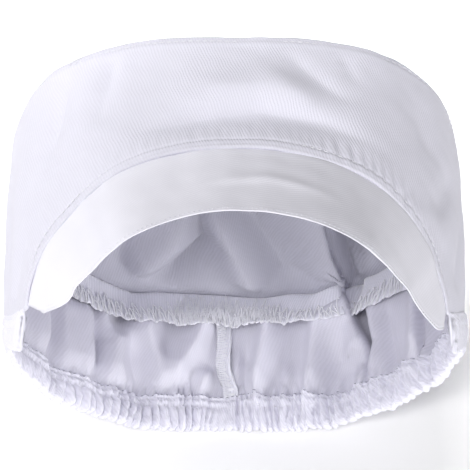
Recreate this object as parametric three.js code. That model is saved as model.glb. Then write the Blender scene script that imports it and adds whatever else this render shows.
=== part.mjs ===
// A visor cap of white twill, as cooks and bakers wear it, lying on its back wall.
//
// Millimetres, +Z up. X runs across the head and Y from the open rim to the crown, so the
// opening looks along -Y and the tall front with its visor is on top. Round the Y axis, at the
// height LEVEL, every place on the cap has a turn in degrees: 0 at the front centre, 90 at the
// side on +X, 180 at the middle of the back, which lies flat on the floor, and 270 at the other side.
import * as THREE from 'three';

const { cos, sin, min, max, abs, PI } = Math;
const RADIANS = PI / 180;

// Driving dimensions
const LEVEL = 68; // height of the widest part above the floor
const WALL = 1.4; // cloth of the side band with its turned edges
const CROWN_CLOTH = 1.2;
const VISOR_THICKNESS = 2.6; // two layers of cloth over a stiffener
const CASING_THICKNESS = 4; // elastic between two gathered layers
const CASING_PROUD = 0.8; // how far the gathered casing stands out of the band
const SEAM_CLOTH = 1.1; // overlocked edges inside
const GAP = 0.4; // air between pieces that are sewn to each other
const SEAM_BEND = 45; // degrees round the shoulder at which the crown seam sits
const FOLD_FLOOR = 0.15; // inward shifts smaller than this are pressed flat

// Sections square to Y: half the width, the rise to the front, the drop to the back and how square each half is
const SECTIONS = table(
  ['y', 'halfWidth', 'frontRise', 'backDrop', 'frontPower', 'backPower'],
  [-20, 94.5, 88, 68, 1.95, 2.15],
  [0, 96, 90, 71, 2.05, 2.15],
  [30, 97.5, 90.5, 76, 2.25, 2.25],
  [60, 97.5, 88.5, 75, 2.4, 2.35],
  [105, 96, 83, 68, 2.5, 2.4],
);

// Height of the crown's edge round the cap: tall in front, low behind
const CROWN_EDGE = table(
  ['turn', 'y'],
  [0, 102], [30, 103], [60, 101], [90, 91], [120, 77], [150, 68], [180, 67.3],
  [210, 68], [240, 77], [270, 91], [300, 101], [330, 103], [360, 102],
);

// The visor along its seam: where the seam runs, how wide the visor is there, how far it flares out
// of the wall and how far it leans towards the cap's +X side, in degrees
const VISOR = table(
  ['turn', 'seam', 'width', 'flare', 'lean'],
  [-63, -6, 17, -15, 50],
  [-60, 1, 29, -12, 50],
  [-54, 10.5, 36, -4, 40],
  [-45, 19, 41.5, 5, 30],
  [-30, 31.5, 45, 14, 20],
  [-15, 37.3, 42, 17, 7],
  [0, 39, 40.5, 18, 0],
  [15, 37.8, 41.5, 17, -6],
  [30, 33.3, 43, 14, -14],
  [45, 23.5, 41, 6, -29],
  [54, 14, 34, -1, -33],
  [60, 5, 28, -4, -34],
  [66, -5.5, 13, -6, -8],
);
const VISOR_START = VISOR[0].turn;
const VISOR_END = VISOR[VISOR.length - 1].turn;
const VISOR_ROWS = [0, 0.25, 0.5, 0.75, 0.93, 1]; // shares of the width from the seam to the free edge
const VISOR_EDGE_TAKEN = 0.6; // each face draws in by this much at the rolled free edge

// The elastic casing from one end of the visor round the back to the other: its seam with the band, its
// open rim and how far round from the seam its rim is. At both ends it dips below the visor's ends.
const CASING = table(
  ['turn', 'top', 'rim', 'slant'],
  [67, -6.5, -18.5, 6.5],
  [73, -1, -14, 4.5],
  [80, 6, -8.5, 2],
  [91, 13.5, -0.5, 0],
  [120, 14, -1, 0],
  [150, 12, -3, 0],
  [180, 11.5, -3.5, 0],
  [210, 12, -3, 0],
  [240, 13.5, -1.5, 0],
  [269, 14.3, -0.4, 0],
  [280, 4.5, -10, -1],
  [287, -2.5, -16, -2.5],
  [296, -7, -21.8, -5.5],
);
const CASING_START = CASING[0].turn;
const CASING_END = CASING[CASING.length - 1].turn;
const CASING_END_SHARE = 0.55; // of the full thickness, at both ends
const CASING_SWELL = 18; // degrees over which the casing grows to its full thickness
const RUFFLES = 70;
const RUFFLE_DEPTH = 1.1;
const RUFFLE_SCALLOP = 0.7; // how far the rim waves with the ruffles
const RUFFLE_FADE = 25; // degrees over which the ruffles grow from each end
const STEPS_PER_RUFFLE = 2;
const CASING_SIDES = 8;

// Gathers that the elastic draws into the back wall
const GATHERS = 15;
const GATHER_DEPTH = 1.6;
const GATHER_REACH = 24; // how far they run up from the casing
const GATHER_SPAN = 110; // degrees on each side of the back's middle
const GATHER_FADE = 20; // degrees over which they fade out

// The seam at the middle of the back and its overlocked allowance
const SEAM = table(['y', 'turn'], [10, 184], [22, 187], [38, 184.5], [56, 185]);
const SEAM_TURN = 185; // where the casing is joined
const SEAM_HALF_WIDTH = 3; // in degrees round the cap
const SEAM_CALM = 9; // degrees on each side that stay free of gathers
const SEAM_ABOVE_CASING = 1.5;
const SEAM_BELOW_CROWN = 1; // air under the crown seam's allowance
const SEAM_ROWS = 8;
const ALLOWANCE_DEPTH = 12; // of the crown seam's allowance, below the shoulder
const ALLOWANCE_BEND = 28;

// Main folds and dents of the band, each an oval of cloth drawn inwards
const FOLDS = table(
  ['turn', 'y', 'wide', 'tall', 'lean', 'inward'],
  [141, 36, 4.5, 44, -0.04, 6.5], // the deep overlapping fold
  [131, 32, 4, 34, 0, 2.6],
  [118, 26, 5, 34, 0, 4.2],
  [168, 22, 4, 20, 0.1, 1.6],
  [199, 26, 4.5, 26, 0.12, 2.2],
  [211, 24, 4.5, 24, -0.1, 2.2],
  [231, 28, 5.5, 34, -0.05, 3.4],
  [246, 24, 5, 30, 0, 2.2],
  [121, 4, 17, 60, 0, 5], // the back is drawn in more on this side
  [4, 62, 26, 9, 0, 1.8], // hollow above the visor
  [26, 84, 7, 18, 0.5, 2], // slanting crease of the front
  [-42, 62, 8, 30, 0.1, 1.2],
  [-56, 40, 6, 26, 0.2, 1.4],
  [62, 46, 7, 24, -0.2, 1.3],
);

// Slack of the crown, as folds that run from its edge to its middle
const CROWN_SHARES = [1, 0.7, 0.35, 0]; // rings of the crown, from its edge to its middle
const CROWN_SPREAD = 2.5; // how late the crown leaves its slanting plane on the way to its edge
const CROWN_MIDDLE = 88;
const CROWN_SLOPE = 0.26; // rise of the crown for each millimetre towards the front
const CROWN_FOLDS = table(
  ['turn', 'wide', 'inward'],
  [214, 10, 3.2], [160, 9, 3.2], [128, 9, 2.4], [250, 12, 2], [330, 14, 1.6], [20, 16, 1.6],
);

const COLUMNS = 120; // steps round the band
const WALL_ROWS = [0, 0.1, 0.24, 0.4, 0.56, 0.72, 0.87, 1];
const MIDDLE_Y = 40.75; // halfway between the casing's lower end and the crown

const finishes = {
  front: cloth(0xf1f0f6, 0.88),
  visor: cloth(0xf3f2f8, 0.85),
  crown: cloth(0xeeedf4, 0.88),
  casing: cloth(0xeceaf2, 0.92),
  seam: cloth(0xe6e4ee, 0.95),
};

function cloth(color, roughness) {
  return new THREE.MeshStandardMaterial({ color, roughness, metalness: 0 });
}

function table(columns, ...rows) {
  return rows.map((row) => Object.fromEntries(columns.map((name, i) => [name, row[i]])));
}

// A smooth curve through one column of a table, keyed by the table's first column
function smooth(rows, at, column) {
  const key = Object.keys(rows[0])[0];
  const last = rows.length - 1;
  const place = min(max(at, rows[0][key]), rows[last][key]);
  let i = 0;
  while (i < last - 1 && rows[i + 1][key] <= place) i += 1;
  const slope = (k) => {
    const before = rows[max(k - 1, 0)];
    const after = rows[min(k + 1, last)];
    return (after[column] - before[column]) / (after[key] - before[key]);
  };
  const span = rows[i + 1][key] - rows[i][key];
  const s = (place - rows[i][key]) / span;
  return (2 * s ** 3 - 3 * s ** 2 + 1) * rows[i][column]
    + (s ** 3 - 2 * s ** 2 + s) * span * slope(i)
    + (3 * s ** 2 - 2 * s ** 3) * rows[i + 1][column]
    + (s ** 3 - s ** 2) * span * slope(i + 1);
}

function turnBetween(a, b) {
  return ((a - b + 540) % 360) - 180;
}

function positive(turn) {
  return (turn + 360) % 360;
}

// Distance of the outer cloth from the cap's axis, cut off where the back lies on the floor
function outerRadius(turn, y, proud = 0) {
  const across = abs(sin(turn * RADIANS));
  const towards = cos(turn * RADIANS);
  const front = towards > 0;
  const power = smooth(SECTIONS, y, front ? 'frontPower' : 'backPower');
  const reach = smooth(SECTIONS, y, front ? 'frontRise' : 'backDrop');
  const oval = ((across / smooth(SECTIONS, y, 'halfWidth')) ** power + (abs(towards) / reach) ** power) ** (-1 / power);
  return front ? oval + proud : min(oval + proud, LEVEL / max(-towards, 1e-6));
}

// How far folds and gathers draw the cloth inwards
function drawnIn(turn, y) {
  let sum = 0;
  for (const fold of FOLDS) {
    const aside = (turnBetween(turn, fold.turn) - fold.lean * (y - fold.y)) / fold.wide;
    const along = (y - fold.y) / fold.tall;
    sum += fold.inward * Math.exp(-aside * aside - along * along);
  }
  const above = y - smooth(CASING, positive(turn), 'top');
  const behind = max(0, min(1, (GATHER_SPAN - abs(turnBetween(turn, 180))) / GATHER_FADE));
  const calm = min(1, abs(turnBetween(turn, smooth(SEAM, y, 'turn'))) / SEAM_CALM) ** 2;
  const wave = (1 + cos((turn - SEAM_TURN) * 2 * GATHERS * RADIANS)) / 2;
  sum += GATHER_DEPTH * wave * behind * calm * Math.exp(-((max(above, 0) / GATHER_REACH) ** 2));
  return max(0, sum - FOLD_FLOOR);
}

function at(turn, y, radius) {
  return new THREE.Vector3(radius * sin(turn * RADIANS), y, max(0, LEVEL + radius * cos(turn * RADIANS)));
}

// A point of the side wall, depth below its outer face
function wallPoint(turn, y, depth) {
  return at(turn, y, outerRadius(turn, y) - drawnIn(turn, y) - depth);
}

function crownEdge(turn) {
  return smooth(CROWN_EDGE, positive(turn), 'y');
}

// The shoulder is rounder in front and pressed tight behind
function shoulder(turn) {
  return 7 + 2 * cos(turn * RADIANS);
}

function wallTop(turn) {
  return crownEdge(turn) - shoulder(turn);
}

function crownRadius(turn) {
  const top = wallTop(turn);
  return outerRadius(turn, top) - drawnIn(turn, top) - shoulder(turn);
}

// A point of the shoulder, bend degrees round from the wall towards the crown
function shoulderPoint(turn, bend, depth) {
  const curve = shoulder(turn) - depth;
  return at(turn, wallTop(turn) + curve * sin(bend * RADIANS), crownRadius(turn) + curve * cos(bend * RADIANS));
}

// A point of the crown, share of the way from its middle to its edge
function crownPoint(turn, share, depth) {
  const edgeRise = crownRadius(turn) * cos(turn * RADIANS);
  const flat = (rise) => CROWN_MIDDLE + CROWN_SLOPE * rise;
  const radius = crownRadius(turn) * share;
  let y = flat(edgeRise * share) + (crownEdge(turn) - flat(edgeRise)) * share ** CROWN_SPREAD;
  for (const fold of CROWN_FOLDS) {
    const away = turnBetween(turn, fold.turn) * RADIANS;
    const aside = (radius * sin(away)) / fold.wide;
    const ahead = cos(away) > 0 ? 1 : 0;
    y -= ahead * fold.inward * Math.exp(-aside * aside) * sin(min(share, 1) * PI) * cos(away) ** 2;
  }
  return at(turn, y - depth, radius);
}

// Lower edge of the band: the visor's seam in front, the casing's seam round the back
function bandEdge(turn) {
  const signed = turnBetween(turn, 0);
  if (signed >= VISOR_START && signed <= VISOR_END) return smooth(VISOR, signed, 'seam');
  return smooth(CASING, positive(turn), 'top') + GAP;
}

// A closed body from rings of points. Each ring is one closed loop, its first half the outer face and
// its second half the inner face on the way back. Rings that don't meet are capped at both ends.
function body(rings, meets) {
  const points = [];
  const known = new Map();
  const index = (point) => {
    const name = point.toArray().map((value) => Math.round(value * 1e4)).join();
    if (!known.has(name)) {
      known.set(name, points.length / 3);
      points.push(point.x, point.y, point.z);
    }
    return known.get(name);
  };
  const loops = rings.map((ring) => ring.map(index));
  const faces = [];
  const add = (a, b, c) => {
    if (a !== b && b !== c && c !== a) faces.push(a, b, c);
  };
  const quad = (a, b, c, d) => {
    add(a, b, c);
    add(a, c, d);
  };
  const size = loops[0].length;
  for (let i = 0; i < loops.length - (meets ? 0 : 1); i += 1) {
    const here = loops[i];
    const next = loops[(i + 1) % loops.length];
    for (let j = 0; j < size; j += 1) {
      const k = (j + 1) % size;
      quad(here[j], next[j], next[k], here[k]);
    }
  }
  if (!meets) {
    const first = loops[0];
    const last = loops[loops.length - 1];
    for (let j = 0; j < size / 2 - 1; j += 1) {
      const far = size - 1 - j;
      quad(first[j], first[j + 1], first[far - 1], first[far]);
      quad(last[j + 1], last[j], last[far], last[far - 1]);
    }
  }
  if (volume(points, faces) < 0) faces.reverse();
  const geometry = new THREE.BufferGeometry();
  geometry.setAttribute('position', new THREE.Float32BufferAttribute(points, 3));
  geometry.setIndex(faces);
  geometry.computeVertexNormals();
  return geometry;
}

function volume(points, faces) {
  const corner = (k) => new THREE.Vector3(points[3 * k], points[3 * k + 1], points[3 * k + 2]);
  let sum = 0;
  for (let i = 0; i < faces.length; i += 3) {
    sum += corner(faces[i]).dot(corner(faces[i + 1]).cross(corner(faces[i + 2])));
  }
  return sum;
}

function turns(count, from = 0, span = 360) {
  return Array.from({ length: count }, (_, i) => from + (span * i) / count);
}

function shell(outer, inner) {
  return [...outer, ...inner.reverse()];
}

function sideBand() {
  const face = (turn, depth) => {
    const low = bandEdge(turn);
    const high = wallTop(turn);
    const wall = WALL_ROWS.map((share) => wallPoint(turn, low + (high - low) * share, depth));
    return [...wall, shoulderPoint(turn, SEAM_BEND / 2, depth), shoulderPoint(turn, SEAM_BEND, depth)];
  };
  return body(turns(COLUMNS).map((turn) => shell(face(turn, 0), face(turn, WALL))), true);
}

function crownPanel() {
  const face = (turn, depth) => {
    const start = SEAM_BEND + GAP / shoulder(turn) / RADIANS;
    return [shoulderPoint(turn, start, depth), ...CROWN_SHARES.map((share) => crownPoint(turn, share, depth))];
  };
  return body(turns(COLUMNS).map((turn) => shell(face(turn, 0), face(turn, CROWN_CLOTH))), true);
}

function visor() {
  const step = 360 / COLUMNS;
  const count = (VISOR_END - VISOR_START) / step + 1;
  const rings = Array.from({ length: count }, (_, i) => {
    const turn = VISOR_START + i * step;
    const flare = smooth(VISOR, turn, 'flare') * RADIANS;
    const lean = smooth(VISOR, turn, 'lean') * RADIANS;
    const out = new THREE.Vector3(sin(turn * RADIANS), 0, cos(turn * RADIANS));
    const along = new THREE.Vector3(cos(turn * RADIANS), 0, -sin(turn * RADIANS));
    along.multiplyScalar(sin(lean) * cos(flare));
    along.y = -cos(lean) * cos(flare);
    along.addScaledVector(out, sin(flare));
    const width = smooth(VISOR, turn, 'width');
    const root = smooth(VISOR, turn, 'seam') - GAP;
    const face = (depth, taken) => VISOR_ROWS.map((share, row) => {
      const rolled = row === VISOR_ROWS.length - 1 ? taken : 0;
      const point = wallPoint(turn, root, 0).addScaledVector(along, width * share);
      return point.addScaledVector(out, rolled - depth);
    });
    return shell(face(0, -VISOR_EDGE_TAKEN), face(VISOR_THICKNESS, VISOR_EDGE_TAKEN));
  });
  return body(rings, false);
}

function elasticCasing() {
  const span = CASING_END - CASING_START;
  const count = RUFFLES * STEPS_PER_RUFFLE;
  const rings = Array.from({ length: count + 1 }, (_, i) => {
    const turn = CASING_START + (span * i) / count;
    const rim = smooth(CASING, turn, 'rim');
    const top = smooth(CASING, turn, 'top');
    const slant = smooth(CASING, turn, 'slant');
    const fromEnd = min(turn - CASING_START, CASING_END - turn);
    const full = min(1, CASING_END_SHARE + ((1 - CASING_END_SHARE) * fromEnd) / CASING_SWELL);
    const calm = min(1, abs(turnBetween(turn, SEAM_TURN)) / SEAM_CALM) ** 2 * min(1, fromEnd / RUFFLE_FADE);
    const wave = calm * (1 - cos((2 * PI * i) / STEPS_PER_RUFFLE)) / 2;
    const thickness = CASING_THICKNESS * full;
    return Array.from({ length: CASING_SIDES }, (_, k) => {
      const angle = (2 * PI * (k + 0.5)) / CASING_SIDES;
      const square = (value) => Math.sign(value) * abs(value) ** 0.5;
      const share = (1 - square(cos(angle))) / 2;
      const depth = (thickness * (1 - square(sin(angle)))) / 2;
      const place = turn + slant * (1 - share);
      const y = rim + (top - rim) * share + RUFFLE_SCALLOP * wave * (1 - share);
      const outside = outerRadius(place, y, CASING_PROUD * full) - drawnIn(turn, top);
      return at(place, y, outside - depth - RUFFLE_DEPTH * wave);
    });
  });
  return body(rings, false);
}

function crownSeamAllowance() {
  const face = (turn, depth) => [
    wallPoint(turn, wallTop(turn) - ALLOWANCE_DEPTH, depth),
    wallPoint(turn, wallTop(turn), depth),
    shoulderPoint(turn, ALLOWANCE_BEND, depth),
  ];
  const near = WALL + GAP;
  return body(turns(COLUMNS).map((turn) => shell(face(turn, near), face(turn, near + SEAM_CLOTH))), true);
}

function backSeamAllowance() {
  const low = smooth(CASING, SEAM_TURN, 'top') + SEAM_ABOVE_CASING;
  const high = wallTop(SEAM_TURN) - ALLOWANCE_DEPTH - SEAM_BELOW_CROWN;
  const near = WALL + GAP;
  const rings = Array.from({ length: SEAM_ROWS + 1 }, (_, i) => {
    const y = low + ((high - low) * i) / SEAM_ROWS;
    const seam = smooth(SEAM, y, 'turn');
    const face = (depth) => [-1, 0, 1].map((side) => wallPoint(seam + side * SEAM_HALF_WIDTH, y, depth));
    return shell(face(near), face(near + SEAM_CLOTH));
  });
  return body(rings, false);
}

const cap = new THREE.Group();
for (const [name, geometry, finish] of [
  ['side_band', sideBand(), finishes.front],
  ['crown_panel', crownPanel(), finishes.crown],
  ['visor', visor(), finishes.visor],
  ['elastic_casing', elasticCasing(), finishes.casing],
  ['crown_seam_allowance', crownSeamAllowance(), finishes.seam],
  ['back_seam_allowance', backSeamAllowance(), finishes.seam],
]) {
  const piece = new THREE.Mesh(geometry, finish);
  piece.name = name;
  cap.add(piece);
}
cap.position.y = -MIDDLE_Y;

export default cap;
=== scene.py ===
import logging
import math
from dataclasses import dataclass, field
from enum import Enum

import bpy
import numpy as np
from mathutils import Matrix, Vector


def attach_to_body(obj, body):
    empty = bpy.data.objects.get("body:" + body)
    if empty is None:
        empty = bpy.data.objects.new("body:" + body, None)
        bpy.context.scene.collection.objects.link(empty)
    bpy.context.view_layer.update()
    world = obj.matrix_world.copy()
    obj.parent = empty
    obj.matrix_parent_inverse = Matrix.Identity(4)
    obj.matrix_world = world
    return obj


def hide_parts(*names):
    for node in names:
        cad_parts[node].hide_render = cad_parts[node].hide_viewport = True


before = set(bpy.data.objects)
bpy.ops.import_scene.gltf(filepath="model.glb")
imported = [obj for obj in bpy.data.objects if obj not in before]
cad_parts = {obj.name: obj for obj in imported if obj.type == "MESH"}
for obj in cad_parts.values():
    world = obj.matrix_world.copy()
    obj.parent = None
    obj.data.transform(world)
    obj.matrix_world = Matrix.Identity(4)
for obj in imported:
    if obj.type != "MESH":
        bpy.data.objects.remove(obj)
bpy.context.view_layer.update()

LOG = logging.getLogger("visor_cap")
MM = 0.001
MIDDLE_Y = 40.75  # from the plane of the rim to the middle of the cap's box
WALL = 1.4  # cloth of the side band with its turned edges
LEVEL = 68.0  # height of the widest part above the floor
TURN_MM = 1.5  # cloth for one degree round the cap
CLOTH_MAP = "cloth"  # each cloth piece's UV map, in metres
ROUNDING = 0.8  # how far a cloth's edge bulges, as a share of half its thickness


class Hold(Enum):
    """How a sheet of the cap is held in its shape."""

    GATHERED = "gathered"
    STRETCHED = "stretched"
    LAID = "laid"


class Table:
    """Rows of named numbers, keyed by the first column and read as smooth curves."""

    def __init__(self, columns: tuple[str, ...], *rows: tuple[float, ...]) -> None:
        """Keep the rows by column.

        Args:
            columns: The columns' names, the key first.
            rows: One tuple of numbers for each row.
        """
        self.key = np.array([row[0] for row in rows], float)
        self.values = {name: np.array([row[i] for row in rows], float) for i, name in enumerate(columns)}

    def at(self, place: np.ndarray | float, column: str) -> np.ndarray:
        """Read one column at places of the key.

        Args:
            place: Values of the key.
            column: The column's name.

        Returns:
            The column's values there.
        """
        key, value = self.key, self.values[column]
        place = np.clip(np.asarray(place, float), key[0], key[-1])
        slope = np.empty_like(value)
        slope[1:-1] = (value[2:] - value[:-2]) / (key[2:] - key[:-2])
        slope[0] = (value[1] - value[0]) / (key[1] - key[0])
        slope[-1] = (value[-1] - value[-2]) / (key[-1] - key[-2])
        i = np.clip(np.searchsorted(key, place, side="right") - 1, 0, len(key) - 2)
        span = key[i + 1] - key[i]
        s = (place - key[i]) / span
        return (
            (2 * s**3 - 3 * s**2 + 1) * value[i]
            + (s**3 - 2 * s**2 + s) * span * slope[i]
            + (3 * s**2 - 2 * s**3) * value[i + 1]
            + (s**3 - s**2) * span * slope[i + 1]
        )


# Sections square to Y: half the width, the rise to the front, the drop to the back,
# and how square each half is
SECTIONS = Table(
    ("y", "half_width", "front_rise", "back_drop", "front_power", "back_power"),
    (-20, 94.5, 88, 68, 1.95, 2.15),
    (0, 96, 90, 71, 2.05, 2.15),
    (30, 97.5, 90.5, 76, 2.25, 2.25),
    (60, 97.5, 88.5, 75, 2.4, 2.35),
    (105, 96, 83, 68, 2.5, 2.4),
)
# Height of the crown's edge round the cap: tall in front, low behind
CROWN_EDGE = Table(
    ("turn", "y"),
    (0, 102), (30, 103), (60, 101), (90, 91), (120, 77), (150, 68), (180, 67.3),
    (210, 68), (240, 77), (270, 91), (300, 101), (330, 103), (360, 102),
)
# The visor along its seam: the seam's place, the visor's width, its flare out of the wall
# and its lean to +X
VISOR = Table(
    ("turn", "seam", "width", "flare", "lean"),
    (-63, -6, 17, -15, 50),
    (-60, 1, 29, -12, 50),
    (-54, 10.5, 36, -4, 40),
    (-45, 19, 41.5, 5, 30),
    (-30, 31.5, 45, 14, 20),
    (-15, 37.3, 42, 17, 7),
    (0, 39, 40.5, 18, 0),
    (15, 37.8, 41.5, 17, -6),
    (30, 33.3, 43, 14, -14),
    (45, 23.5, 41, 6, -29),
    (54, 14, 34, -1, -33),
    (60, 5, 28, -4, -34),
    (66, -5.5, 13, -6, -8),
)
VISOR_START, VISOR_END = -63.0, 66.0
# The elastic casing round the back: its seam with the band, its open rim and how far round its rim is set
CASING = Table(
    ("turn", "top", "rim", "slant"),
    (67, -6.5, -18.5, 6.5),
    (73, -1, -14, 4.5),
    (80, 6, -8.5, 2),
    (91, 13.5, -0.5, 0),
    (120, 14, -1, 0),
    (150, 12, -3, 0),
    (180, 11.5, -3.5, 0),
    (210, 12, -3, 0),
    (240, 13.5, -1.5, 0),
    (269, 14.3, -0.4, 0),
    (280, 4.5, -10, -1),
    (287, -2.5, -16, -2.5),
    (296, -7, -21.8, -5.5),
)
CASING_START, CASING_END = 67.0, 296.0
# The seam at the middle of the back
SEAM = Table(("y", "turn"), (8, 180.8), (15, 181.4), (26, 184.2), (38, 184.2), (48, 184.2), (60, 184.4))


@dataclass(frozen=True)
class Crease:
    """One fold of cloth along a path, in millimetres across and up the surface."""

    path: tuple[tuple[float, float], ...]
    height: float
    left: float
    right: float
    start: float = 0.3  # share of the path over which it rises
    end: float = 0.0  # share of the path over which it dies away
    over: float = 0.0  # how far the crest is thrown sideways
    sharp: float = 1.7  # 1 for a pointed crest, 3 for a flat one

    def measure(self, u: np.ndarray, v: np.ndarray) -> tuple[np.ndarray, np.ndarray]:
        """Find how far points lie from the path.

        Args:
            u: Places across the surface.
            v: Places up the surface.

        Returns:
            The distance, positive on the path's left, and the share of the path passed.
        """
        points = np.array(self.path, float)
        lengths = np.linalg.norm(np.diff(points, axis=0), axis=1)
        passed = np.concatenate([[0], np.cumsum(lengths)])
        best = np.full(u.shape, 1e9)
        side, share = np.zeros(u.shape), np.zeros(u.shape)
        for i, length in enumerate(lengths):
            (u0, v0), (du, dv) = points[i], (points[i + 1] - points[i]) / length
            along = np.clip((u - u0) * du + (v - v0) * dv, 0, length)
            off_u, off_v = u - u0 - du * along, v - v0 - dv * along
            away = np.hypot(off_u, off_v)
            nearer = away < best
            best = np.where(nearer, away, best)
            side = np.where(nearer, np.where(du * off_v - dv * off_u >= 0, away, -away), side)
            share = np.where(nearer, (passed[i] + along) / passed[-1], share)
        return side, share

    def rise(self, u: np.ndarray, v: np.ndarray) -> np.ndarray:
        """Give the fold's height at points of the surface.

        Args:
            u: Places across the surface.
            v: Places up the surface.

        Returns:
            Shares of the height of the fold's crest.
        """
        side, share = self.measure(u, v)
        width = np.where(side > 0, self.left, self.right)
        height = swell(np.abs(side), width, self.sharp)
        if self.start:
            height = height * ease(share / self.start)
        if self.end:
            height = height * ease((1 - share) / self.end)
        return height


def ease(share: np.ndarray | float) -> np.ndarray:
    """Go smoothly from 0 to 1 as the share does."""
    s = np.clip(share, 0, 1)
    return s * s * (3 - 2 * s)


def swell(away: np.ndarray | float, reach: np.ndarray | float, power: float = 2) -> np.ndarray:
    """Fall smoothly from 1 at no distance to nearly 0 at twice the reach."""
    return np.exp(-((away / reach) ** power))


def turn_between(a: np.ndarray | float, b: np.ndarray | float) -> np.ndarray:
    """Give the turn from b to a, from -180 to 180 degrees."""
    return (np.asarray(a, float) - b + 540) % 360 - 180


def ripple(u: np.ndarray, v: np.ndarray, pitch: float, seed: int) -> np.ndarray:
    """Make soft uneven waves, the same for the same seed.

    Args:
        u: Places across the surface.
        v: Places up the surface.
        pitch: The waves' usual length.
        seed: What the waves are drawn from.

    Returns:
        Heights that mostly lie from -1 to 1.
    """
    rng = np.random.default_rng(seed)
    total = np.zeros(np.broadcast(u, v).shape)
    waves, calm = 9, 1.4
    for _ in range(waves):
        angle, phase = rng.uniform(0, math.pi), rng.uniform(0, 2 * math.pi)
        length = pitch * rng.uniform(0.7, 1.6)
        total += np.sin((u * math.cos(angle) + v * math.sin(angle)) * 2 * math.pi / length + phase)
    return total / waves**0.5 / calm


def wall_fold(
    height: float, left: float, right: float, *path: tuple[float, float], **more: float
) -> Crease:
    """Make a fold of the side band from places given as turn and height above the rim."""
    return Crease(tuple((turn * TURN_MM, y) for turn, y in path), height, left, right, **more)


# Folds of the band: how high, how wide on the left and on the right, then the path's turns and heights.
# A fold of more than 0 rises into the cap. On a path that runs down, left is towards larger turns.
WALL_FOLDS = (
    wall_fold(4.5, 3.4, 9, (239, 62), (238.4, 30), (238.4, 2), start=0.25),
    wall_fold(8.0, 9, 4.0, (248.6, 62), (248, 30), (247.8, 2), start=0.25, sharp=2.0),
    wall_fold(8.0, 9, 4.2, (231.4, 62), (230.6, 34), (230.8, 2), start=0.25),
    wall_fold(3.0, 2.6, 3.0, (235, 20), (235.4, 2), start=0.6),
    wall_fold(6.0, 2.8, 6.0, (226, 64), (225, 48), (222.6, 39), (224, 24), (226, 2), start=0.2),
    wall_fold(6.0, 6.0, 9.0, (206.4, 64), (211.6, 53), (216.5, 45), (219.6, 38), (220.4, 28), (220.6, 12),
              start=0.25, end=0.15),
    wall_fold(6.2, 3.4, 7.0, (215.4, 55), (213, 45), (209.8, 33.6), (206.6, 18), (206.2, 2), start=0.2),
    wall_fold(7.6, 5.5, 6.5, (193, 62), (192.4, 49), (196, 39), (201.4, 28), (203.4, 16),
              start=0.25, end=0.25),
    wall_fold(3.4, 3.2, 3.4, (199.6, 18), (200, 2), start=0.5),
    wall_fold(6.0, 4.2, 3.4, (189.6, 30), (193.6, 12), (194.6, 2), start=0.35),
    wall_fold(3.4, 3.2, 3.6, (178.2, 42), (179.8, 2), start=0.4),
    wall_fold(3.2, 2.0, 2.4, (174.4, 22), (174.4, 2), start=0.5),
    wall_fold(9.5, 5.5, 5.0, (165.4, 62), (167, 44), (170.6, 24), (172.4, 2), start=0.25, sharp=1.8),
    wall_fold(3.4, 3.6, 5.0, (159.6, 34), (161, 2), start=0.5),
    wall_fold(9.0, 6.5, 5.0, (148.2, 62), (149, 44), (152, 14), (152.4, 2), start=0.25, sharp=1.8),
    wall_fold(9.0, 10, 2.2, (144.8, 68), (142.2, 53), (140, 45), (137.7, 38), (136.5, 33), (136.3, 24),
              start=0.4, end=0.3, over=4.6, sharp=2.4),
    wall_fold(5.6, 8, 1.6, (147, 78), (144.8, 66), (142.2, 53), (140, 45),
              start=0.02, end=0.45, over=5.0, sharp=2.4),
    wall_fold(8.0, 3.6, 1.6, (136.4, 34), (135.6, 20), (136.2, 2), start=0.6, over=2.4, sharp=2.0),
    wall_fold(-5.0, 4.0, 3.0, (139, 72), (136, 53), (134, 44), (132.4, 36), (133.4, 20), (134.2, 4),
              start=0.1, end=0.2, sharp=2.2),
    wall_fold(7.2, 1.8, 9.0, (132.6, 66), (131.6, 50), (131.2, 40), (132.4, 28), (134.4, 14), (135, 2),
              start=0.2, over=-1.6),
    wall_fold(-4.5, 3.6, 3.0, (128.2, 62), (126.8, 36), (123.4, 2), start=0.3),
    wall_fold(7.5, 6.0, 1.2, (116.8, 66), (115.6, 40), (114.4, 2), start=0.35, over=4.4, sharp=2.2),
    wall_fold(-5.5, 2.2, 4.6, (111.2, 58), (110.0, 6), start=0.2, end=0.2),
    wall_fold(3.8, 3.0, 3.0, (101, 30), (100, 2), start=0.6),
    # Soft dents of the front
    wall_fold(3.6, 5.0, 9.0, (-30, 47), (-14, 54), (8, 59), (24, 55), (38, 45), start=0.3, end=0.3),
    wall_fold(-2.8, 10.0, 8.0, (-20, 68), (6, 72), (30, 63), start=0.4, end=0.4),
    wall_fold(1.5, 3.4, 7.5, (13, 92), (20, 80), (31, 64), start=0.35, end=0.4),
    wall_fold(-1.0, 7.0, 7.0, (3, 90), (14, 72), (22, 60), start=0.4, end=0.4),
    wall_fold(0.8, 2.6, 4.0, (29, 94), (31, 86), (33, 76), start=0.3, end=0.5),
    wall_fold(2.6, 4.0, 5.0, (-33, 96), (-34, 76), (-38, 54), start=0.2, end=0.4),
    wall_fold(2.8, 5.0, 5.0, (-47, 92), (-48, 70), (-52, 46), start=0.3, end=0.4),
    wall_fold(1.2, 4.0, 6.0, (-68, 60), (-72, 30), (-78, 8), start=0.4, end=0.2),
    wall_fold(1.6, 5.0, 4.0, (-58, 30), (-66, 12), (-72, 2), start=0.4, end=0.1),
    wall_fold(1.5, 4.0, 6.0, (66, 62), (60, 40), (56, 26), start=0.4, end=0.3),
    wall_fold(1.3, 4.0, 4.0, (76, 52), (71, 26), (70, 6), start=0.4, end=0.2),
    wall_fold(1.2, 7.0, 7.0, (48, 90), (52, 66), (58, 50), start=0.4, end=0.4),
)


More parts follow.
